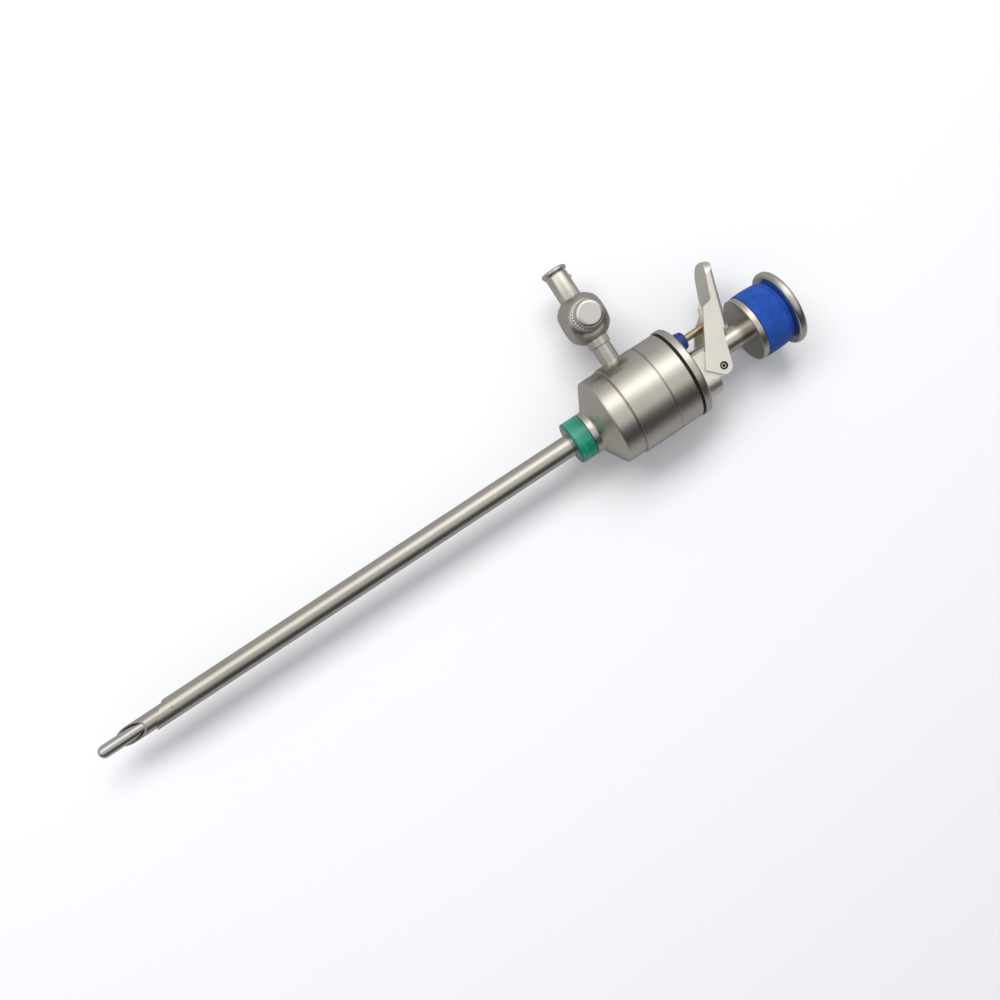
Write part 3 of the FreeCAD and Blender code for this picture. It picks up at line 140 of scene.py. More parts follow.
class TrocarFinish(bpy.types.PropertyGroup):
    """Colours and gloss of the finishes."""

    steel: colour("Steel", "Warm satin steel of the turned pieces", (0.60, 0.565, 0.50))
    steel_gloss: share("Steel roughness", "Roughness of the satin steel", 0.26)
    bright: colour("Bright steel", "Finely ground steel", (0.66, 0.64, 0.60))
    sheet: colour("Lever steel", "Milled, ground steel of lever and bracket", (0.83, 0.79, 0.705))
    spring: colour("Spring steel", "Drawn wire", (0.48, 0.47, 0.46))
    brass: colour("Brass", "Drawn push rod", (0.52, 0.40, 0.26))
    silicone: colour("Silicone", "Seal cap", (0.014, 0.070, 0.36))
    bushing: colour("Bushing", "Silicone bushing of the push rod", (0.012, 0.042, 0.18))
    ring: colour("Size ring", "Green polymer", (0.006, 0.25, 0.165))
    seal: colour("Seal ring", "Black rubber", (0.012, 0.012, 0.013))


class TrocarStudio(bpy.types.PropertyGroup):
    """Floor, lights and camera."""

    floor: colour("Floor", "Pale plain floor", (0.90, 0.90, 0.91))
    mirrored: share("Floor in the metal", "Share of the floor's paleness in the metal", 0.45)
    key: share("Key light", "Power of the large soft light, in watts", 5.7, 1000.0)
    fill: share("Surroundings", "Strength of the surroundings", 1.0, 10.0)


class TrocarSettings(bpy.types.PropertyGroup):
    """All settings of the trocar's looks."""

    sizes: bpy.props.PointerProperty(type=TrocarSizes)
    finish: bpy.props.PointerProperty(type=TrocarFinish)
    studio: bpy.props.PointerProperty(type=TrocarStudio)


def settings():
    """The scene's trocar settings."""
    return bpy.context.scene.trocar


class Nodes:
    """A short way to build one node tree."""

    def __init__(self, tree):
        self.tree = tree
        tree.nodes.clear()

    def add(self, kind, **inputs):
        """A node of that kind; an input is a number, a colour or another node's output."""
        node = self.tree.nodes.new(kind)
        for name, given in inputs.items():
            self.feed(node, name, given)
        return node

    def feed(self, node, name, given):
        """Sets or links one input, by its index or by its name with spaces as underscores."""
        key = int(name[1:]) if name[0] == "i" and name[1:].isdigit() else name.replace("_", " ")
        socket = node.inputs[key]
        if isinstance(given, bpy.types.NodeSocket):
            self.tree.links.new(given, socket)
        else:
            socket.default_value = given

    def math(self, kind, a, b=0.0):
        """The result of a maths node."""
        node = self.add("ShaderNodeMath", i0=a, i1=b)
        node.operation = kind
        return node.outputs[0]

    def ramp(self, factor, stops):
        """Colour ramp through stops of (place, grey or colour)."""
        node = self.add("ShaderNodeValToRGB", Fac=factor)
        node.color_ramp.interpolation = "LINEAR"
        points = node.color_ramp.elements
        points.remove(points[1])
        for index, (place, tone) in enumerate(stops):
            point = points.new(place) if index else points[0]
            point.position = place
            point.color = (*tone, 1) if isinstance(tone, tuple) else (tone, tone, tone, 1)
        return node.outputs["Color"]


def new_material(name):
    """An empty material and its node helper."""
    material = bpy.data.materials.new(name)
    material.use_nodes = True
    return material, Nodes(material.node_tree)


def stretched_noise(tree, place, scale, detail=2.0):
    """Noise on Object coordinates, scaled by a number of grains per metre on each axis."""
    mapping = tree.add("ShaderNodeMapping", Vector=place, Scale=scale)
    noise = tree.add(
        "ShaderNodeTexNoise", Vector=mapping.outputs[0], Scale=1.0, Detail=detail, Roughness=0.6
    )
    return noise.outputs["Fac"]


def steel_material(name, tint, roughness, grain=(900, 5200, 5200), streak=0.05, bump=0.01):
    """Satin steel: fine blasted grain, soft smudges from handling, and faint tool streaks."""
    material, tree = new_material(name)
    place = tree.add("ShaderNodeTexCoord").outputs["Object"]
    fine = stretched_noise(tree, place, grain, 3.0)
    cloudy = stretched_noise(tree, place, (70, 90, 90), 2.0)
    speck = stretched_noise(tree, place, (2600, 2600, 2600), 1.0)
    dark = tuple(channel * 0.90 for channel in tint)
    light = tuple(min(1.0, channel * 1.05) for channel in tint)
    mixed = tree.math("ADD", tree.math("MULTIPLY", fine, 0.45), tree.math("MULTIPLY", cloudy, 0.55))
    base = tree.ramp(mixed, [(0.30, dark), (0.70, light)])
    rough = tree.math("ADD", tree.math("MULTIPLY", cloudy, 0.10), roughness - 0.05 - streak / 2)
    rough = tree.math("ADD", rough, tree.math("MULTIPLY", fine, streak))
    height = tree.math("ADD", tree.math("MULTIPLY", fine, 0.6), tree.math("MULTIPLY", speck, 0.4))
    relief = tree.add("ShaderNodeBump", Strength=bump * 10, Distance=0.00001, Height=height)
    shader = tree.add(
        "ShaderNodeBsdfPrincipled", Base_Color=base, Metallic=1.0, Roughness=rough,
        Normal=relief.outputs[0],
    )
    tree.add("ShaderNodeOutputMaterial", Surface=shader.outputs[0])
    return material


def rubber_material(name, tint, roughness, milky=0.0, gloss=0.3):
    """Moulded silicone or rubber: soft gloss, slight mottling, and light that bleeds a little."""
    material, tree = new_material(name)
    place = tree.add("ShaderNodeTexCoord").outputs["Object"]
    mottle = stretched_noise(tree, place, (260, 260, 260), 3.0)
    fine = stretched_noise(tree, place, (3000, 3000, 3000), 2.0)
    dark = tuple(channel * 0.80 for channel in tint)
    light = tuple(min(1.0, channel * 1.18 + 0.004) for channel in tint)
    base = tree.ramp(mottle, [(0.30, dark), (0.70, light)])
    rough = tree.math("ADD", tree.math("MULTIPLY", mottle, 0.16), roughness - 0.08)
    relief = tree.add("ShaderNodeBump", Strength=0.12, Distance=0.00002, Height=fine)
    shader = tree.add(
        "ShaderNodeBsdfPrincipled", Base_Color=base, Roughness=rough, Normal=relief.outputs[0],
        Subsurface_Weight=milky, Subsurface_Scale=0.0015, Specular_IOR_Level=gloss,
    )
    shader.inputs["Subsurface Radius"].default_value = (0.4, 0.7, 1.0)
    tree.add("ShaderNodeOutputMaterial", Surface=shader.outputs[0])
    return material


def ring_material(tint):
    """Tinted clear polymer of the size ring: brighter and darker bands run round it, and painted
    shade darkens it towards both ends.
    """
    material, tree = new_material("finish_green_polymer")
    place = tree.add("ShaderNodeTexCoord").outputs["Object"]
    bands = stretched_noise(tree, place, (1500, 60, 60), 3.0)
    cloud = stretched_noise(tree, place, (180, 180, 180), 2.0)
    mixed = tree.math("ADD", tree.math("MULTIPLY", bands, 0.6), tree.math("MULTIPLY", cloud, 0.4))
    dark = tuple(channel * 0.55 for channel in tint)
    light = tuple(channel * 1.5 + 0.01 for channel in tint)
    body = tree.ramp(mixed, [(0.32, dark), (0.52, tint), (0.70, light)])
    along = tree.add("ShaderNodeSeparateXYZ", Vector=place).outputs[0]
    middle = HOUSING_FRONT / 2 * MM
    off = tree.math("ABSOLUTE", tree.math("DIVIDE", tree.math("SUBTRACT", along, middle), middle))
    # Painted shade: the ring's colour darkens towards both ends and their rounded edges
    painted_end_shade = tree.ramp(off, [(0.0, 1.0), (0.80, 0.95), (0.93, 0.50), (1.0, 0.40)])
    toned = tree.add("ShaderNodeVectorMath", i0=body, i1=painted_end_shade)
    toned.operation = "MULTIPLY"
    base = toned.outputs[0]
    rough = tree.math("ADD", tree.math("MULTIPLY", cloud, 0.2), 0.10)
    relief = tree.add("ShaderNodeBump", Strength=0.2, Distance=0.00004, Height=bands)
    shader = tree.add(
        "ShaderNodeBsdfPrincipled", Base_Color=base, Roughness=rough, Normal=relief.outputs[0],
        Subsurface_Weight=0.15, Subsurface_Scale=0.001, Specular_IOR_Level=0.55, Coat_Weight=0.4,
        Coat_Roughness=0.12,
    )
    tree.add("ShaderNodeOutputMaterial", Surface=shader.outputs[0])
    return material


class TROCAR_OT_finishes(bpy.types.Operator):
    """Gives every node of the frame its finish"""

    bl_idname = "trocar.finishes"
    bl_label = "Finishes"

    def execute(self, context):
        finish = settings().finish
        satin = tuple(finish.steel)
        steel_material("finish_satin_steel", satin, finish.steel_gloss)
        steel_material("finish_bright_steel", tuple(finish.bright), 0.22)
        steel_material("finish_lever_steel", tuple(finish.sheet), 0.34, (3600, 3600, 3600), 0.04)
        steel_material("finish_spring_steel", tuple(finish.spring), 0.28)
        steel_material("finish_brass_rod", tuple(finish.brass), 0.38, (700, 5200, 5200))
        rubber_material("finish_blue_silicone", tuple(finish.silicone), 0.46, 0.06, 0.18)
        rubber_material("finish_dark_blue_silicone", tuple(finish.bushing), 0.40, 0.05, 0.35)
        ring_material(tuple(finish.ring))
        rubber_material("finish_black_seal", tuple(finish.seal), 0.45)
        for entry in frame["record"]["subparts"]:
            mesh = NODES[entry["node"]].data
            mesh.materials.clear()
            mesh.materials.append(finish_of(entry["node"]))
        return {"FINISHED"}


def tap_finish():
    """Satin steel whose fine lines run round the tap's own axis."""
    finish = settings().finish
    return bpy.data.materials.get("tap_steel") or steel_material(
        "tap_steel", tuple(finish.steel), finish.steel_gloss - 0.03, (5200, 900, 5200)
    )


def ball_finish():
    """Duller, slightly darker steel of the cast ball body."""
    finish = settings().finish
    tint = tuple(channel * 0.86 for channel in finish.steel)
    return steel_material("ball_steel", tint, finish.steel_gloss + 0.05, (2600, 2600, 2600))


def knob_finish():
    """Satin steel whose fine lines run round the knob."""
    finish = settings().finish
    return steel_material("knob_steel", tuple(finish.bright), finish.steel_gloss, (5200, 5200, 900))


def pin_finish():
    """Bright pin with painted shade: its hollow end and its sunk shoulder are painted near-black.
    """
    material, tree = new_material("pin_steel")
    place = tree.add("ShaderNodeTexCoord").outputs["Object"]
    flat = tree.add(
        "ShaderNodeMapping", Vector=place, Location=(-PIN_X * MM, -PIN_Y * MM, 0.0),
        Scale=(1.0, 1.0, 0.0),
    )
    away = tree.add("ShaderNodeVectorMath", i0=flat.outputs[0])
    away.operation = "LENGTH"
    mask = tree.math("DIVIDE", away.outputs["Value"], 1.4 * MM)
    noise = stretched_noise(tree, place, (2400, 2400, 2400), 3.0)
    edge_place = tree.math("ADD", mask, tree.math("MULTIPLY", noise, 0.08))
    # Painted shade: near-black colour in the pin's hollow end and on its sunk shoulder, where shade
    # falls
    painted_shade = (0.03, 0.03, 0.028)
    base = tree.ramp(edge_place, [
        (0.0, painted_shade), (0.31, painted_shade), (0.37, (0.52, 0.51, 0.47)), (0.55, (0.45, 0.44, 0.41)),
        (0.62, painted_shade), (1.0, painted_shade),
    ])
    rough = tree.math("ADD", tree.math("MULTIPLY", noise, 0.2), 0.28)
    shader = tree.add(
        "ShaderNodeBsdfPrincipled", Base_Color=base, Metallic=1.0, Roughness=rough
    )
    tree.add("ShaderNodeOutputMaterial", Surface=shader.outputs[0])
    return material


def soften(corners, steps=6):
    """Outline through the corners (along, radius, rounding): each rounding becomes an arc that
    touches both neighbours, its ends a rounding over the tangent of half the corner's angle away
    from the corner. A support point beside each arc keeps the flat faces flat."""
    places = np.array([corner[:2] for corner in corners], float)
    runs = []
    for index, corner in enumerate(corners):
        here = places[index]
        if len(corner) < 3:
            runs.append(here[None])
            continue
        back = places[index - 1] - here
        onward = places[(index + 1) % len(places)] - here
        room = 0.45 * min(np.linalg.norm(back), np.linalg.norm(onward))
        back /= np.linalg.norm(back)
        onward /= np.linalg.norm(onward)
        half = math.acos(np.clip(back @ onward, -1.0, 1.0)) / 2
        reach = min(corner[2] / math.tan(half), room)
        radius = reach * math.tan(half)
        inward = (back + onward) / np.linalg.norm(back + onward)
        centre = here + inward * radius / math.sin(half)
        first = here + back * reach - centre
        last = here + onward * reach - centre
        turn = math.atan2(first[0] * last[1] - first[1] * last[0], first @ last)
        angle = math.atan2(first[1], first[0]) + turn * np.linspace(0, 1, steps + 1)
        arc = centre + radius * np.stack([np.cos(angle), np.sin(angle)], axis=1)
        support = min(0.25 * radius, 0.1 * room)
        runs += [(arc[0] + back * support)[None], arc, (arc[-1] + onward * support)[None]]
    return np.concatenate(runs)


def grid_faces(rows, columns, closed_rows=True, closed_columns=True):
    """Four-cornered faces of a grid of points, numbered row by row, that may close on itself."""
    row = np.arange(rows if closed_rows else rows - 1)[:, None]
    column = np.arange(columns if closed_columns else columns - 1)[None, :]
    next_row = (row + 1) % rows
    next_column = (column + 1) % columns
    faces = np.stack([
        row * columns + column, row * columns + next_column,
        next_row * columns + next_column, next_row * columns + column,
    ], axis=-1)
    return faces.reshape(-1, 4)


def lathe(outline, axis="X", centre=(0.0, 0.0, 0.0), around=144, ripple=None):
    """Points and faces of a turned shape. A point of the outline at (along, radius) is carried
    round the axis: centre + along on the axis + radius * cosine and sine of the angle across it.
    A ripple(along, angle) is added to the radius."""
    outline = np.asarray(outline, float)
    angle = np.arange(around) * 2 * math.pi / around
    along = np.repeat(outline[:, :1], around, axis=1)
    radius = np.repeat(outline[:, 1:], around, axis=1)
    if ripple is not None:
        radius = radius + ripple(along, angle[None, :])
    points = np.empty((len(outline), around, 3))
    main, first, second = AXES[axis]
    points[..., main] = along
    points[..., first] = radius * np.cos(angle)
    points[..., second] = radius * np.sin(angle)
    points += np.array(centre)
    return points.reshape(-1, 3), grid_faces(len(outline), around)


def finish_piece(piece, node, material, sharp=35.0):
    """Shades the piece, gives it its finish, and lets it stand for the node on the node's body."""
    mesh = piece.data
    mesh.materials.clear()
    mesh.materials.append(material)
    mesh.shade_smooth()
    mesh.set_sharp_from_angle(angle=math.radians(sharp))
    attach(piece, BODIES[node])
    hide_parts(node)
    return piece


def new_piece(name, node, shapes, material=None, sharp=35.0):
    """One object from several closed shapes, each (points in millimetres, faces). Points that
    meet, as at a pole, are merged, and all faces are turned outwards."""
    points = np.concatenate([shape[0] for shape in shapes]) * MM
    starts = np.cumsum([0] + [len(shape[0]) for shape in shapes[:-1]])
    faces = np.concatenate([shape[1] + start for shape, start in zip(shapes, starts)])
    mesh = bpy.data.meshes.new(name)
    mesh.from_pydata(points, [], faces)
    shape = bmesh.new()
    shape.from_mesh(mesh)
    bmesh.ops.remove_doubles(shape, verts=shape.verts, dist=MERGED_NEW)
    bmesh.ops.recalc_face_normals(shape, faces=shape.faces)
    shape.to_mesh(mesh)
    shape.free()
    piece = bpy.data.objects.new(name, mesh)
    bpy.context.scene.collection.objects.link(piece)
    return finish_piece(piece, node, material or finish_of(node), sharp)


def softened_copy(name, node, width, steps=3, material=None, corner=28.0):
    """A merged copy of a milled or cut node whose edges are rounded by a bevel."""
    mesh = NODES[node].data.copy()
    mesh.name = name
    shape = bmesh.new()
    shape.from_mesh(mesh)
    bmesh.ops.remove_doubles(shape, verts=shape.verts, dist=MERGED_CUT)
    bmesh.ops.dissolve_limit(
        shape, angle_limit=math.radians(0.6), verts=shape.verts, edges=shape.edges
    )
    shape.to_mesh(mesh)
    shape.free()
    piece = bpy.data.objects.new(name, mesh)
    bpy.context.scene.collection.objects.link(piece)
    bevel = piece.modifiers.new("rounded_edges", "BEVEL")
    bevel.width = width
    bevel.segments = steps
    bevel.limit_method = "ANGLE"
    bevel.angle_limit = math.radians(corner)
    bevel.use_clamp_overlap = True
    weighted = piece.modifiers.new("flat_faces", "WEIGHTED_NORMAL")
    weighted.keep_sharp = False
    return finish_piece(piece, node, material or finish_of(node), 60.0)


def finish_of(node):
    """The finish made for the record's slot of that node."""
    return bpy.data.materials["finish_" + SLOTS[node]]


def edge():
    """The turned edges' rounding, in millimetres."""
    return settings().sizes.edge / MM


class TROCAR_OT_ring(bpy.types.Operator):
    """Makes the green size ring with softened edges"""

    bl_idname = "trocar.ring"
    bl_label = "Size ring"

    def execute(self, context):
        outline = soften([
            (0.0, 3.6), (0.0, 6.65, 0.55), (5.55, 6.65, 0.3), (5.55, 3.6),
        ])
        new_piece("size_ring_soft", "size_ring", [lathe(outline)])
        return {"FINISHED"}


class TROCAR_OT_housing(bpy.types.Operator):
    """Makes the turned housing, its seal ring and the cap plate"""

    bl_idname = "trocar.housing"
    bl_label = "Housing and cap"

    def execute(self, context):
        soft = edge()
        groove = 0.14
        outline = soften([
            (HOUSING_FRONT, 3.6), (HOUSING_FRONT, 6.6, 0.15), (7.5, 6.6, 0.5), (11.8, 13.85, 0.75),
            (17.3, 13.85, groove), (17.6, 13.5, 0.08), (17.9, 14.25, groove),
            (29.7, 14.25, groove), (30.0, 13.85, 0.08), (30.3, 14.15, groove),
            (HOUSING_BACK, 14.15, 0.25), (HOUSING_BACK, 12.9), (30.2, 12.9), (30.2, 12.2),
            (15.6, 12.2), (11.8, 5.6), (11.8, 5.0), (10.6, 5.0), (10.6, 3.6),
        ])
        new_piece("valve_housing_soft", "valve_housing", [lathe(outline, around=192)])
        seal = soften([
            (HOUSING_BACK, 12.95), (HOUSING_BACK, 13.95, 0.3), (CAP_FRONT, 13.95, 0.3),
            (CAP_FRONT, 12.95),
        ])
        new_piece("housing_seal_soft", "housing_o_ring", [lathe(seal, around=160)])
        cap = soften([
            (CAP_FRONT, 3.57), (CAP_FRONT, 11.4), (32.2, 11.4), (32.2, 12.85), (CAP_FRONT, 12.85),
            (CAP_FRONT, 14.45, soft), (CAP_BACK, 14.45, 0.8), (CAP_BACK, 3.57),
        ])
        new_piece("cap_plate_soft", "cap_plate", [lathe(cap, around=192)])
        return {"FINISHED"}


class TROCAR_OT_neck(bpy.types.Operator):
    """Makes the neck flange, the silicone cap and the obturator's head"""

    bl_idname = "trocar.neck"
    bl_label = "Neck and head"

    def execute(self, context):
        flange = soften([
            (FLANGE_FRONT, 3.57), (FLANGE_FRONT, 10.15, 0.35), (FLANGE_BACK, 10.15, 0.3),
            (FLANGE_BACK, 3.57),
        ])
        new_piece("neck_flange_soft", "neck_flange", [lathe(flange)])
        side = np.linspace(0.0, 1.0, 9)[1:-1]
        belly = [
            (FLANGE_BACK + 8.4 * step, 10.3 - 0.25 * step + 0.8 * step * (1 - step))
            for step in side
        ]
        cap = soften([
            (FLANGE_BACK, 3.57), (FLANGE_BACK, 10.3, 0.45), *belly, (73.0, 10.05, 0.5),
            (73.0, 9.25, 0.12), (SEAL_CAP_BACK, 9.25, 0.35), (SEAL_CAP_BACK, 2.85, 0.3),
            (72.5, 2.85, 0.3), (72.5, 4.3), (67.9, 4.3), (67.9, 3.57),
        ])
        new_piece("seal_cap_soft", "seal_cap", [lathe(cap)])
        head = soften([
            (SEAL_CAP_BACK, 2.77), (SEAL_CAP_BACK, 12.05, 1.05), (HEAD_BACK, 12.05, 1.15),
            (HEAD_BACK, 2.77),
        ], steps=10)
        new_piece("obturator_head_soft", "obturator_head", [lathe(head)])
        plug = soften([(71.6, 0.0), (71.6, 2.3, 0.1), (HEAD_BACK, 2.34, 0.12), (HEAD_BACK, 0.0)])
        new_piece("head_plug_soft", "head_plug", [lathe(plug, around=64)])
        return {"FINISHED"}


class TROCAR_OT_rod(bpy.types.Operator):
    """Makes the silicone bushing that seals the push rod"""

    bl_idname = "trocar.rod"
    bl_label = "Rod bushing"

    def execute(self, context):
        centre = (0.0, ROD_Y, 0.0)
        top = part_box("rod_bushing")[1][0] / MM
        rod_low, rod_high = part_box("push_rod")
        bore = (rod_high[2] - rod_low[2]) / MM / 2 + 0.02
        bushing = soften([
            (CAP_BACK, bore), (CAP_BACK, 3.25, 0.1), (41.4, 3.2, 0.3), (42.1, 2.95, 0.4),
            (top - 2.6, 3.05, 0.6), (top - 0.5, 2.65, 1.7), (top - 0.5, bore, 0.15),
        ], steps=8)
        stem = soften([(CAP_FRONT, bore), (CAP_FRONT, 1.9), (40.9, 1.9), (40.9, bore)])
        shapes = [lathe(bushing, "X", centre, 96), lathe(stem, "X", centre, 48)]
        new_piece("rod_bushing_soft", "rod_bushing", shapes)
        return {"FINISHED"}


class TROCAR_OT_tap(bpy.types.Operator):
    """Makes the gas pipe, its collar, the ball body, the toothed knob and the threaded port"""

    bl_idname = "trocar.tap"
    bl_label = "Gas tap"

    def execute(self, context):
        centre = (TAP_X, 0.0, 0.0)
        sizes = settings().sizes
        across = tap_finish()
        pipe = soften([
            (12.3, 1.25), (12.3, 2.95), (19.45, 2.95, 0.05), (19.55, 2.72), (19.8, 2.72),
            (19.9, 2.95), (23.4, 2.95), (23.4, 1.25),
        ])
        new_piece("gas_pipe_soft", "gas_pipe", [lathe(pipe, "Y", centre, 96)], across)
        collar = soften([
            (19.75, 2.96), (19.75, 3.4, 0.14), (21.3, 3.4), (22.9, 3.4), (22.9, 2.96),
        ])
        new_piece("tap_collar_soft", "tap_collar", [lathe(collar, "Y", centre, 96)], across)
        new_piece("tap_body_soft", "tap_body", [self.ball()], ball_finish())
        new_piece("tap_knob_soft", "tap_knob", self.knob(sizes), knob_finish())
        new_piece("luer_port_soft", "luer_port", self.port(sizes, centre), across)
        softened_copy("tap_nut_soft", "tap_nut", 0.12 * MM)
        return {"FINISHED"}

    def ball(self):
        """A ball cut by four flats. In a direction with parts a and b across the flats, the
        distance from the middle is the power mean that runs smoothly from the ball's radius to
        the flat's distance over |a| or |b|."""
        rows, columns, power = 150, 300, 90.0
        polar = (np.arange(rows) + 0.5) / rows * math.pi
        polar[0], polar[-1] = 0.0, math.pi
        turn = np.arange(columns) * 2 * math.pi / columns
        up = np.repeat(np.cos(polar)[:, None], columns, axis=1)
        side = np.sin(polar)[:, None] * np.cos(turn)
        front = np.sin(polar)[:, None] * np.sin(turn)
        blend = (
            BALL_RADIUS ** -power + (np.abs(side) / FLAT_DISTANCE) ** power
            + (np.abs(front) / FLAT_DISTANCE) ** power
        )
        reach = blend ** (-1.0 / power)
        points = np.stack([
            TAP_X + reach * side, TAP_Y + reach * up, reach * front,
        ], axis=-1).reshape(-1, 3)
        return points, grid_faces(rows, columns, closed_rows=False)

    def knob(self, sizes):
        """The knob's round top, and a skirt whose radius rises and falls with the angle."""
        teeth = sizes.knob_teeth
        depth = sizes.tooth_depth / MM
        shoulder = SKIRT_FOOT + 1.3

        def ripple(along, angle):
            wave = np.abs(np.sin(angle * teeth / 2)) ** 0.6
            on_skirt = (along > SKIRT_FOOT - 0.01) & (along < shoulder)
            return np.where(on_skirt, depth * (wave - 1.0), 0.0)

        outline = soften([
            (SKIRT_FOOT, 1.5), (SKIRT_FOOT, SKIRT_RADIUS, 0.12),
            (SKIRT_FOOT + 1.0, SKIRT_RADIUS, 0.15), (SKIRT_FOOT + 1.25, KNOB_RADIUS + 0.05, 0.12),
            (SKIRT_FOOT + 1.35, KNOB_RADIUS), (KNOB_TOP, KNOB_RADIUS, sizes.knob_round / MM),
            (KNOB_TOP, 0.0), (9.0, 0.0), (9.0, 1.5),
        ], steps=10)
        return [lathe(outline, "Z", (TAP_X, TAP_Y, 0.0), teeth * 10, ripple)]

    def port(self, sizes, centre):
        """The port's tube with its rolled mouth, and two ribs that climb round the mouth. A rib's
        round section is carried along a helix and shrinks to nothing at both ends."""
        tube = soften([
            (35.05, 1.25), (35.05, 3.4), (43.9, 3.4), (44.35, 3.22, 0.3), (44.75, 3.4, 0.3),
            (46.1, 3.4, 0.3), (46.1, 2.14, 0.2), (37.6, 1.885), (37.6, 1.25),
        ])
        shapes = [lathe(tube, "Y", centre, 120)]
        span = np.linspace(0.0, 1.0, 97)[:, None]
        section = np.linspace(0.0, 2 * math.pi, 17)[:-1]
        fade = np.sqrt(np.clip(np.minimum(span, 1.0 - span) * 11.0, 0.0, 1.0))
        height = sizes.thread_height / MM * fade
        width = sizes.thread_width / MM / 2 * fade
        for first, last, low, high in ((-30, 210, 45.15, 45.45), (200, 372, 45.2, 41.6)):
            angle = np.radians(first + (last - first) * span)
            radius = 3.32 + height * np.cos(section)
            along = low + (high - low) * span + width * np.sin(section)
            points = np.stack([
                TAP_X + radius * np.cos(angle), along, radius * np.sin(angle),
            ], axis=-1).reshape(-1, 3)
            shapes.append((points, grid_faces(len(span), len(section), closed_rows=False)))
        return shapes


class TROCAR_OT_milled(bpy.types.Operator):
    """Makes the lever, the bracket and the pin with rounded edges"""

    bl_idname = "trocar.milled"
    bl_label = "Lever and bracket"

    def execute(self, context):
        sizes = settings().sizes
        softened_copy("lever_soft", "lever", sizes.milled_edge)
        ground = finish_of("lever")
        softened_copy("hinge_bracket_soft", "hinge_bracket", sizes.milled_edge, 3, ground)
        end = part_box("lever_pin")[1][2] / MM
        tip = 0.35
        outline = soften([
            (end - 0.4, 0.0), (end - 0.4, 0.40), (end, 0.46, 0.04), (end, 0.78, 0.10),
            (end - tip, 0.78), (end - tip, 1.2, 0.08), (tip - end, 1.2, 0.08), (tip - end, 0.78),
            (-end, 0.78, 0.12), (-end, 0.0),
        ])
        pin = lathe(outline, "Z", (PIN_X, PIN_Y, 0.0), 64)
        new_piece("lever_pin_soft", "lever_pin", [pin], pin_finish())
        return {"FINISHED"}


class TROCAR_OT_tubes(bpy.types.Operator):
    """Makes the cannula and the obturator's tube with lightly broken edges"""

    bl_idname = "trocar.tubes"
    bl_label = "Tubes"

    def execute(self, context):
        sizes = settings().sizes
        softened_copy("cannula_tube_soft", "cannula_tube", sizes.tube_edge, 2)
        softened_copy("obturator_tube_soft", "obturator_tube", sizes.tube_edge * 0.7, 2)
        return {"FINISHED"}


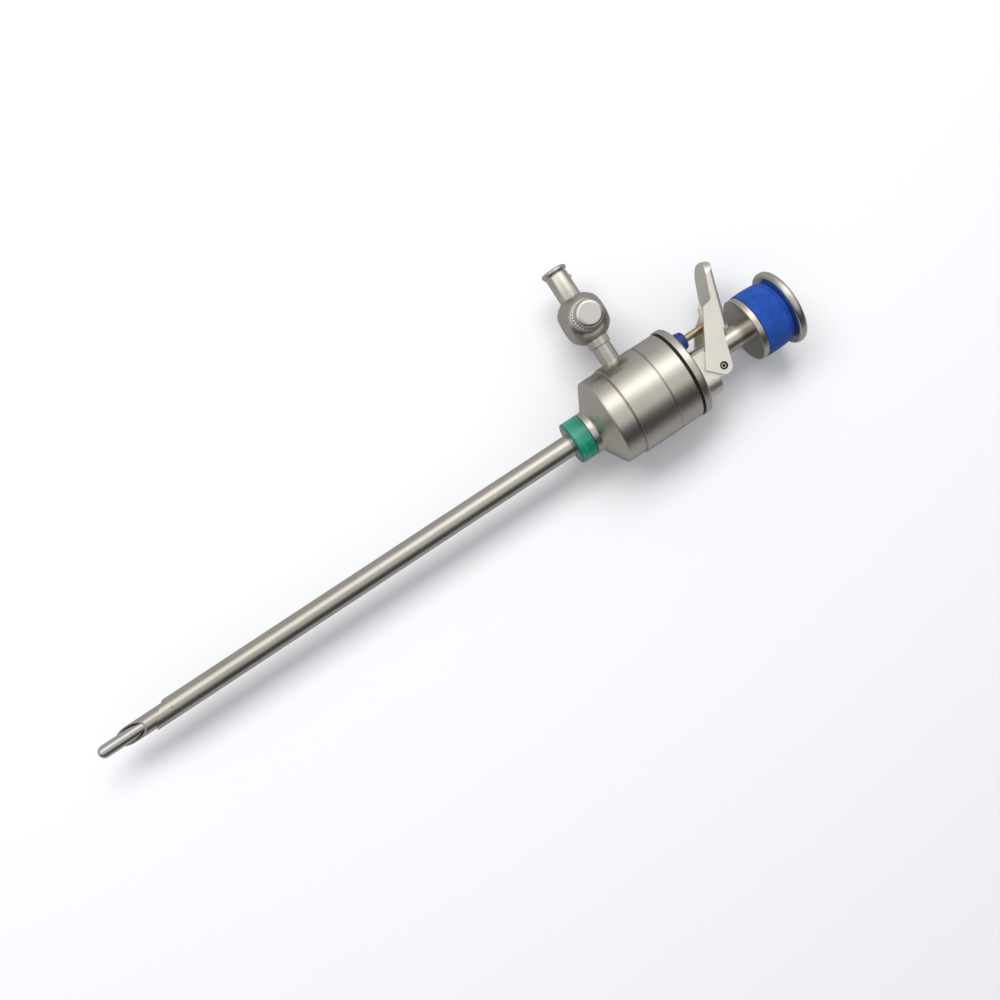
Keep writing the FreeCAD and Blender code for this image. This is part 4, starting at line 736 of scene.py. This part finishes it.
class TROCAR_OT_stage(bpy.types.Operator):
    """Makes the camera, the floor, the soft light and the surroundings"""

    bl_idname = "trocar.stage"
    bl_label = "Stage"

    def execute(self, context):
        studio = settings().studio
        camera_data = bpy.data.cameras.new("camera")
        camera_data.lens = 38.71
        camera_data.sensor_width = 36.0
        camera = bpy.data.objects.new("camera", camera_data)
        bpy.context.scene.collection.objects.link(camera)
        tilt, lean, roll = 0.043248, 0.079178, 0.582705
        turn = (
            Matrix.Rotation(roll, 3, "Z") @ Matrix.Rotation(lean, 3, "Y")
            @ Matrix.Rotation(tilt, 3, "X")
        )
        camera.matrix_world = (
            Matrix.Translation(Vector((-51.66, 11.47, 314.72)) * MM) @ turn.transposed().to_4x4()
        )
        bpy.context.scene.camera = camera
        self.make_floor(studio)
        self.make_key_light(studio)
        self.make_surroundings(studio)
        bpy.context.scene.view_settings.view_transform = "Standard"
        return {"FINISHED"}

    def make_floor(self, studio):
        """A wide flat floor that just touches the lowest points."""
        half = 1.5
        level = CAD_BOX[0][2] - 0.02 * MM
        corners = [
            (-half, -half, level), (half, -half, level), (half, half, level), (-half, half, level)
        ]
        mesh = bpy.data.meshes.new("floor")
        mesh.from_pydata(corners, [], [(0, 1, 2, 3)])
        floor = bpy.data.objects.new("floor", mesh)
        bpy.context.scene.collection.objects.link(floor)
        material, tree = new_material("pale_floor")
        seen = tree.add("ShaderNodeLightPath").outputs["Is Camera Ray"]
        dimmed = tuple(channel * studio.mirrored for channel in studio.floor)
        pale = tree.ramp(seen, [(0.0, dimmed), (1.0, tuple(studio.floor))])
        shader = tree.add(
            "ShaderNodeBsdfPrincipled", Base_Color=pale, Roughness=0.7,
            Specular_IOR_Level=0.2,
        )
        tree.add("ShaderNodeOutputMaterial", Surface=shader.outputs[0])
        mesh.materials.append(material)

    def make_key_light(self, studio):
        """A large soft light above, on the tap's side."""
        light = bpy.data.lights.new("key_light", "AREA")
        light.shape = "RECTANGLE"
        light.size = 0.9
        light.size_y = 0.30
        light.energy = studio.key
        lamp = bpy.data.objects.new("key_light", light)
        bpy.context.scene.collection.objects.link(lamp)
        spot = Vector((-0.05, 0.46, 0.70))
        lamp.location = spot
        lamp.rotation_euler = (-spot).to_track_quat("-Z", "Y").to_euler()
        lamp.visible_glossy = False

    def make_surroundings(self, studio):
        """Surroundings whose brightness, as the metal mirrors it, changes with the angle about the
        instrument's axis and with the direction along it. Other light from them is even."""
        world = bpy.data.worlds.new("surroundings")
        bpy.context.scene.world = world
        world.use_nodes = True
        tree = Nodes(world.node_tree)
        way = tree.add("ShaderNodeTexCoord").outputs["Generated"]
        parts = tree.add("ShaderNodeSeparateXYZ", Vector=way).outputs
        aside = tree.math("MULTIPLY", parts[1], -1.0)
        angle = tree.math("ARCTAN2", aside, parts[2])
        place = tree.math("ADD", tree.math("DIVIDE", angle, 2 * math.pi), 0.5)
        mirrored = tree.ramp(place, [
            (0.233, 0.46), (0.272, 0.54), (0.306, 0.64), (0.333, 0.85), (0.361, 1.25),
            (0.386, 1.65), (0.408, 1.82), (0.431, 1.68), (0.456, 1.15), (0.478, 0.86),
            (0.500, 0.74), (0.528, 0.71), (0.550, 0.75), (0.572, 0.62), (0.594, 0.34),
            (0.617, (0.17, 0.17, 0.18)), (0.639, (0.10, 0.098, 0.11)),
            (0.667, (0.055, 0.053, 0.066)), (0.694, (0.06, 0.058, 0.068)), (0.717, 0.10),
            (0.744, 0.22), (0.778, 0.36),
        ])
        along = tree.ramp(tree.math("ADD", tree.math("DIVIDE", parts[0], 2.0), 0.5), [
            (0.0, 0.62), (0.02, 0.42), (0.06, 0.55), (0.11, 0.84), (0.20, 0.88), (0.38, 0.82),
            (0.44, 0.84), (0.50, 0.90), (0.56, 1.03), (0.66, 1.22), (0.82, 1.10), (0.90, 0.70),
            (0.97, 0.50), (1.0, 0.80),
        ])
        uneven = tree.add("ShaderNodeVectorMath", i0=mirrored, i1=along)
        uneven.operation = "MULTIPLY"
        glossy = tree.add("ShaderNodeLightPath").outputs["Is Glossy Ray"]
        tone = tree.add("ShaderNodeMix")
        tone.data_type = "RGBA"
        tree.feed(tone, "i0", glossy)
        tree.feed(tone, "i6", (0.57, 0.58, 0.595, 1.0))
        tree.feed(tone, "i7", uneven.outputs[0])
        background = tree.add(
            "ShaderNodeBackground", Color=tone.outputs[2], Strength=studio.fill
        )
        tree.add("ShaderNodeOutputWorld", Surface=background.outputs[0])


class TROCAR_PT_panel(bpy.types.Panel):
    """Buttons and settings of the trocar's looks"""

    bl_idname = "TROCAR_PT_panel"
    bl_label = "Trocar"
    bl_space_type = "VIEW_3D"
    bl_region_type = "UI"
    bl_category = "Trocar"

    def draw(self, context):
        layout = self.layout
        for operator in OPERATORS:
            layout.operator(operator.bl_idname)
        for group in (settings().sizes, settings().finish, settings().studio):
            box = layout.box()
            for name in group.__annotations__:
                box.prop(group, name)


OPERATORS = (
    TROCAR_OT_stage,
    TROCAR_OT_finishes,
    TROCAR_OT_tubes,
    TROCAR_OT_ring,
    TROCAR_OT_housing,
    TROCAR_OT_neck,
    TROCAR_OT_rod,
    TROCAR_OT_tap,
    TROCAR_OT_milled,
)
CLASSES = (TrocarSizes, TrocarFinish, TrocarStudio, TrocarSettings, *OPERATORS, TROCAR_PT_panel)


def register():
    """Registers the classes and the scene's settings."""
    for item in CLASSES:
        bpy.utils.register_class(item)
    bpy.types.Scene.trocar = bpy.props.PointerProperty(type=TrocarSettings)


def unregister():
    """Takes the settings and the classes away again."""
    del bpy.types.Scene.trocar
    for item in reversed(CLASSES):
        bpy.utils.unregister_class(item)


def main():
    """Registers the classes and runs every step in order."""
    register()
    for operator in OPERATORS:
        group, name = operator.bl_idname.split(".")
        getattr(getattr(bpy.ops, group), name)()
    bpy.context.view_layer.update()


if __name__ == "__main__":
    main()
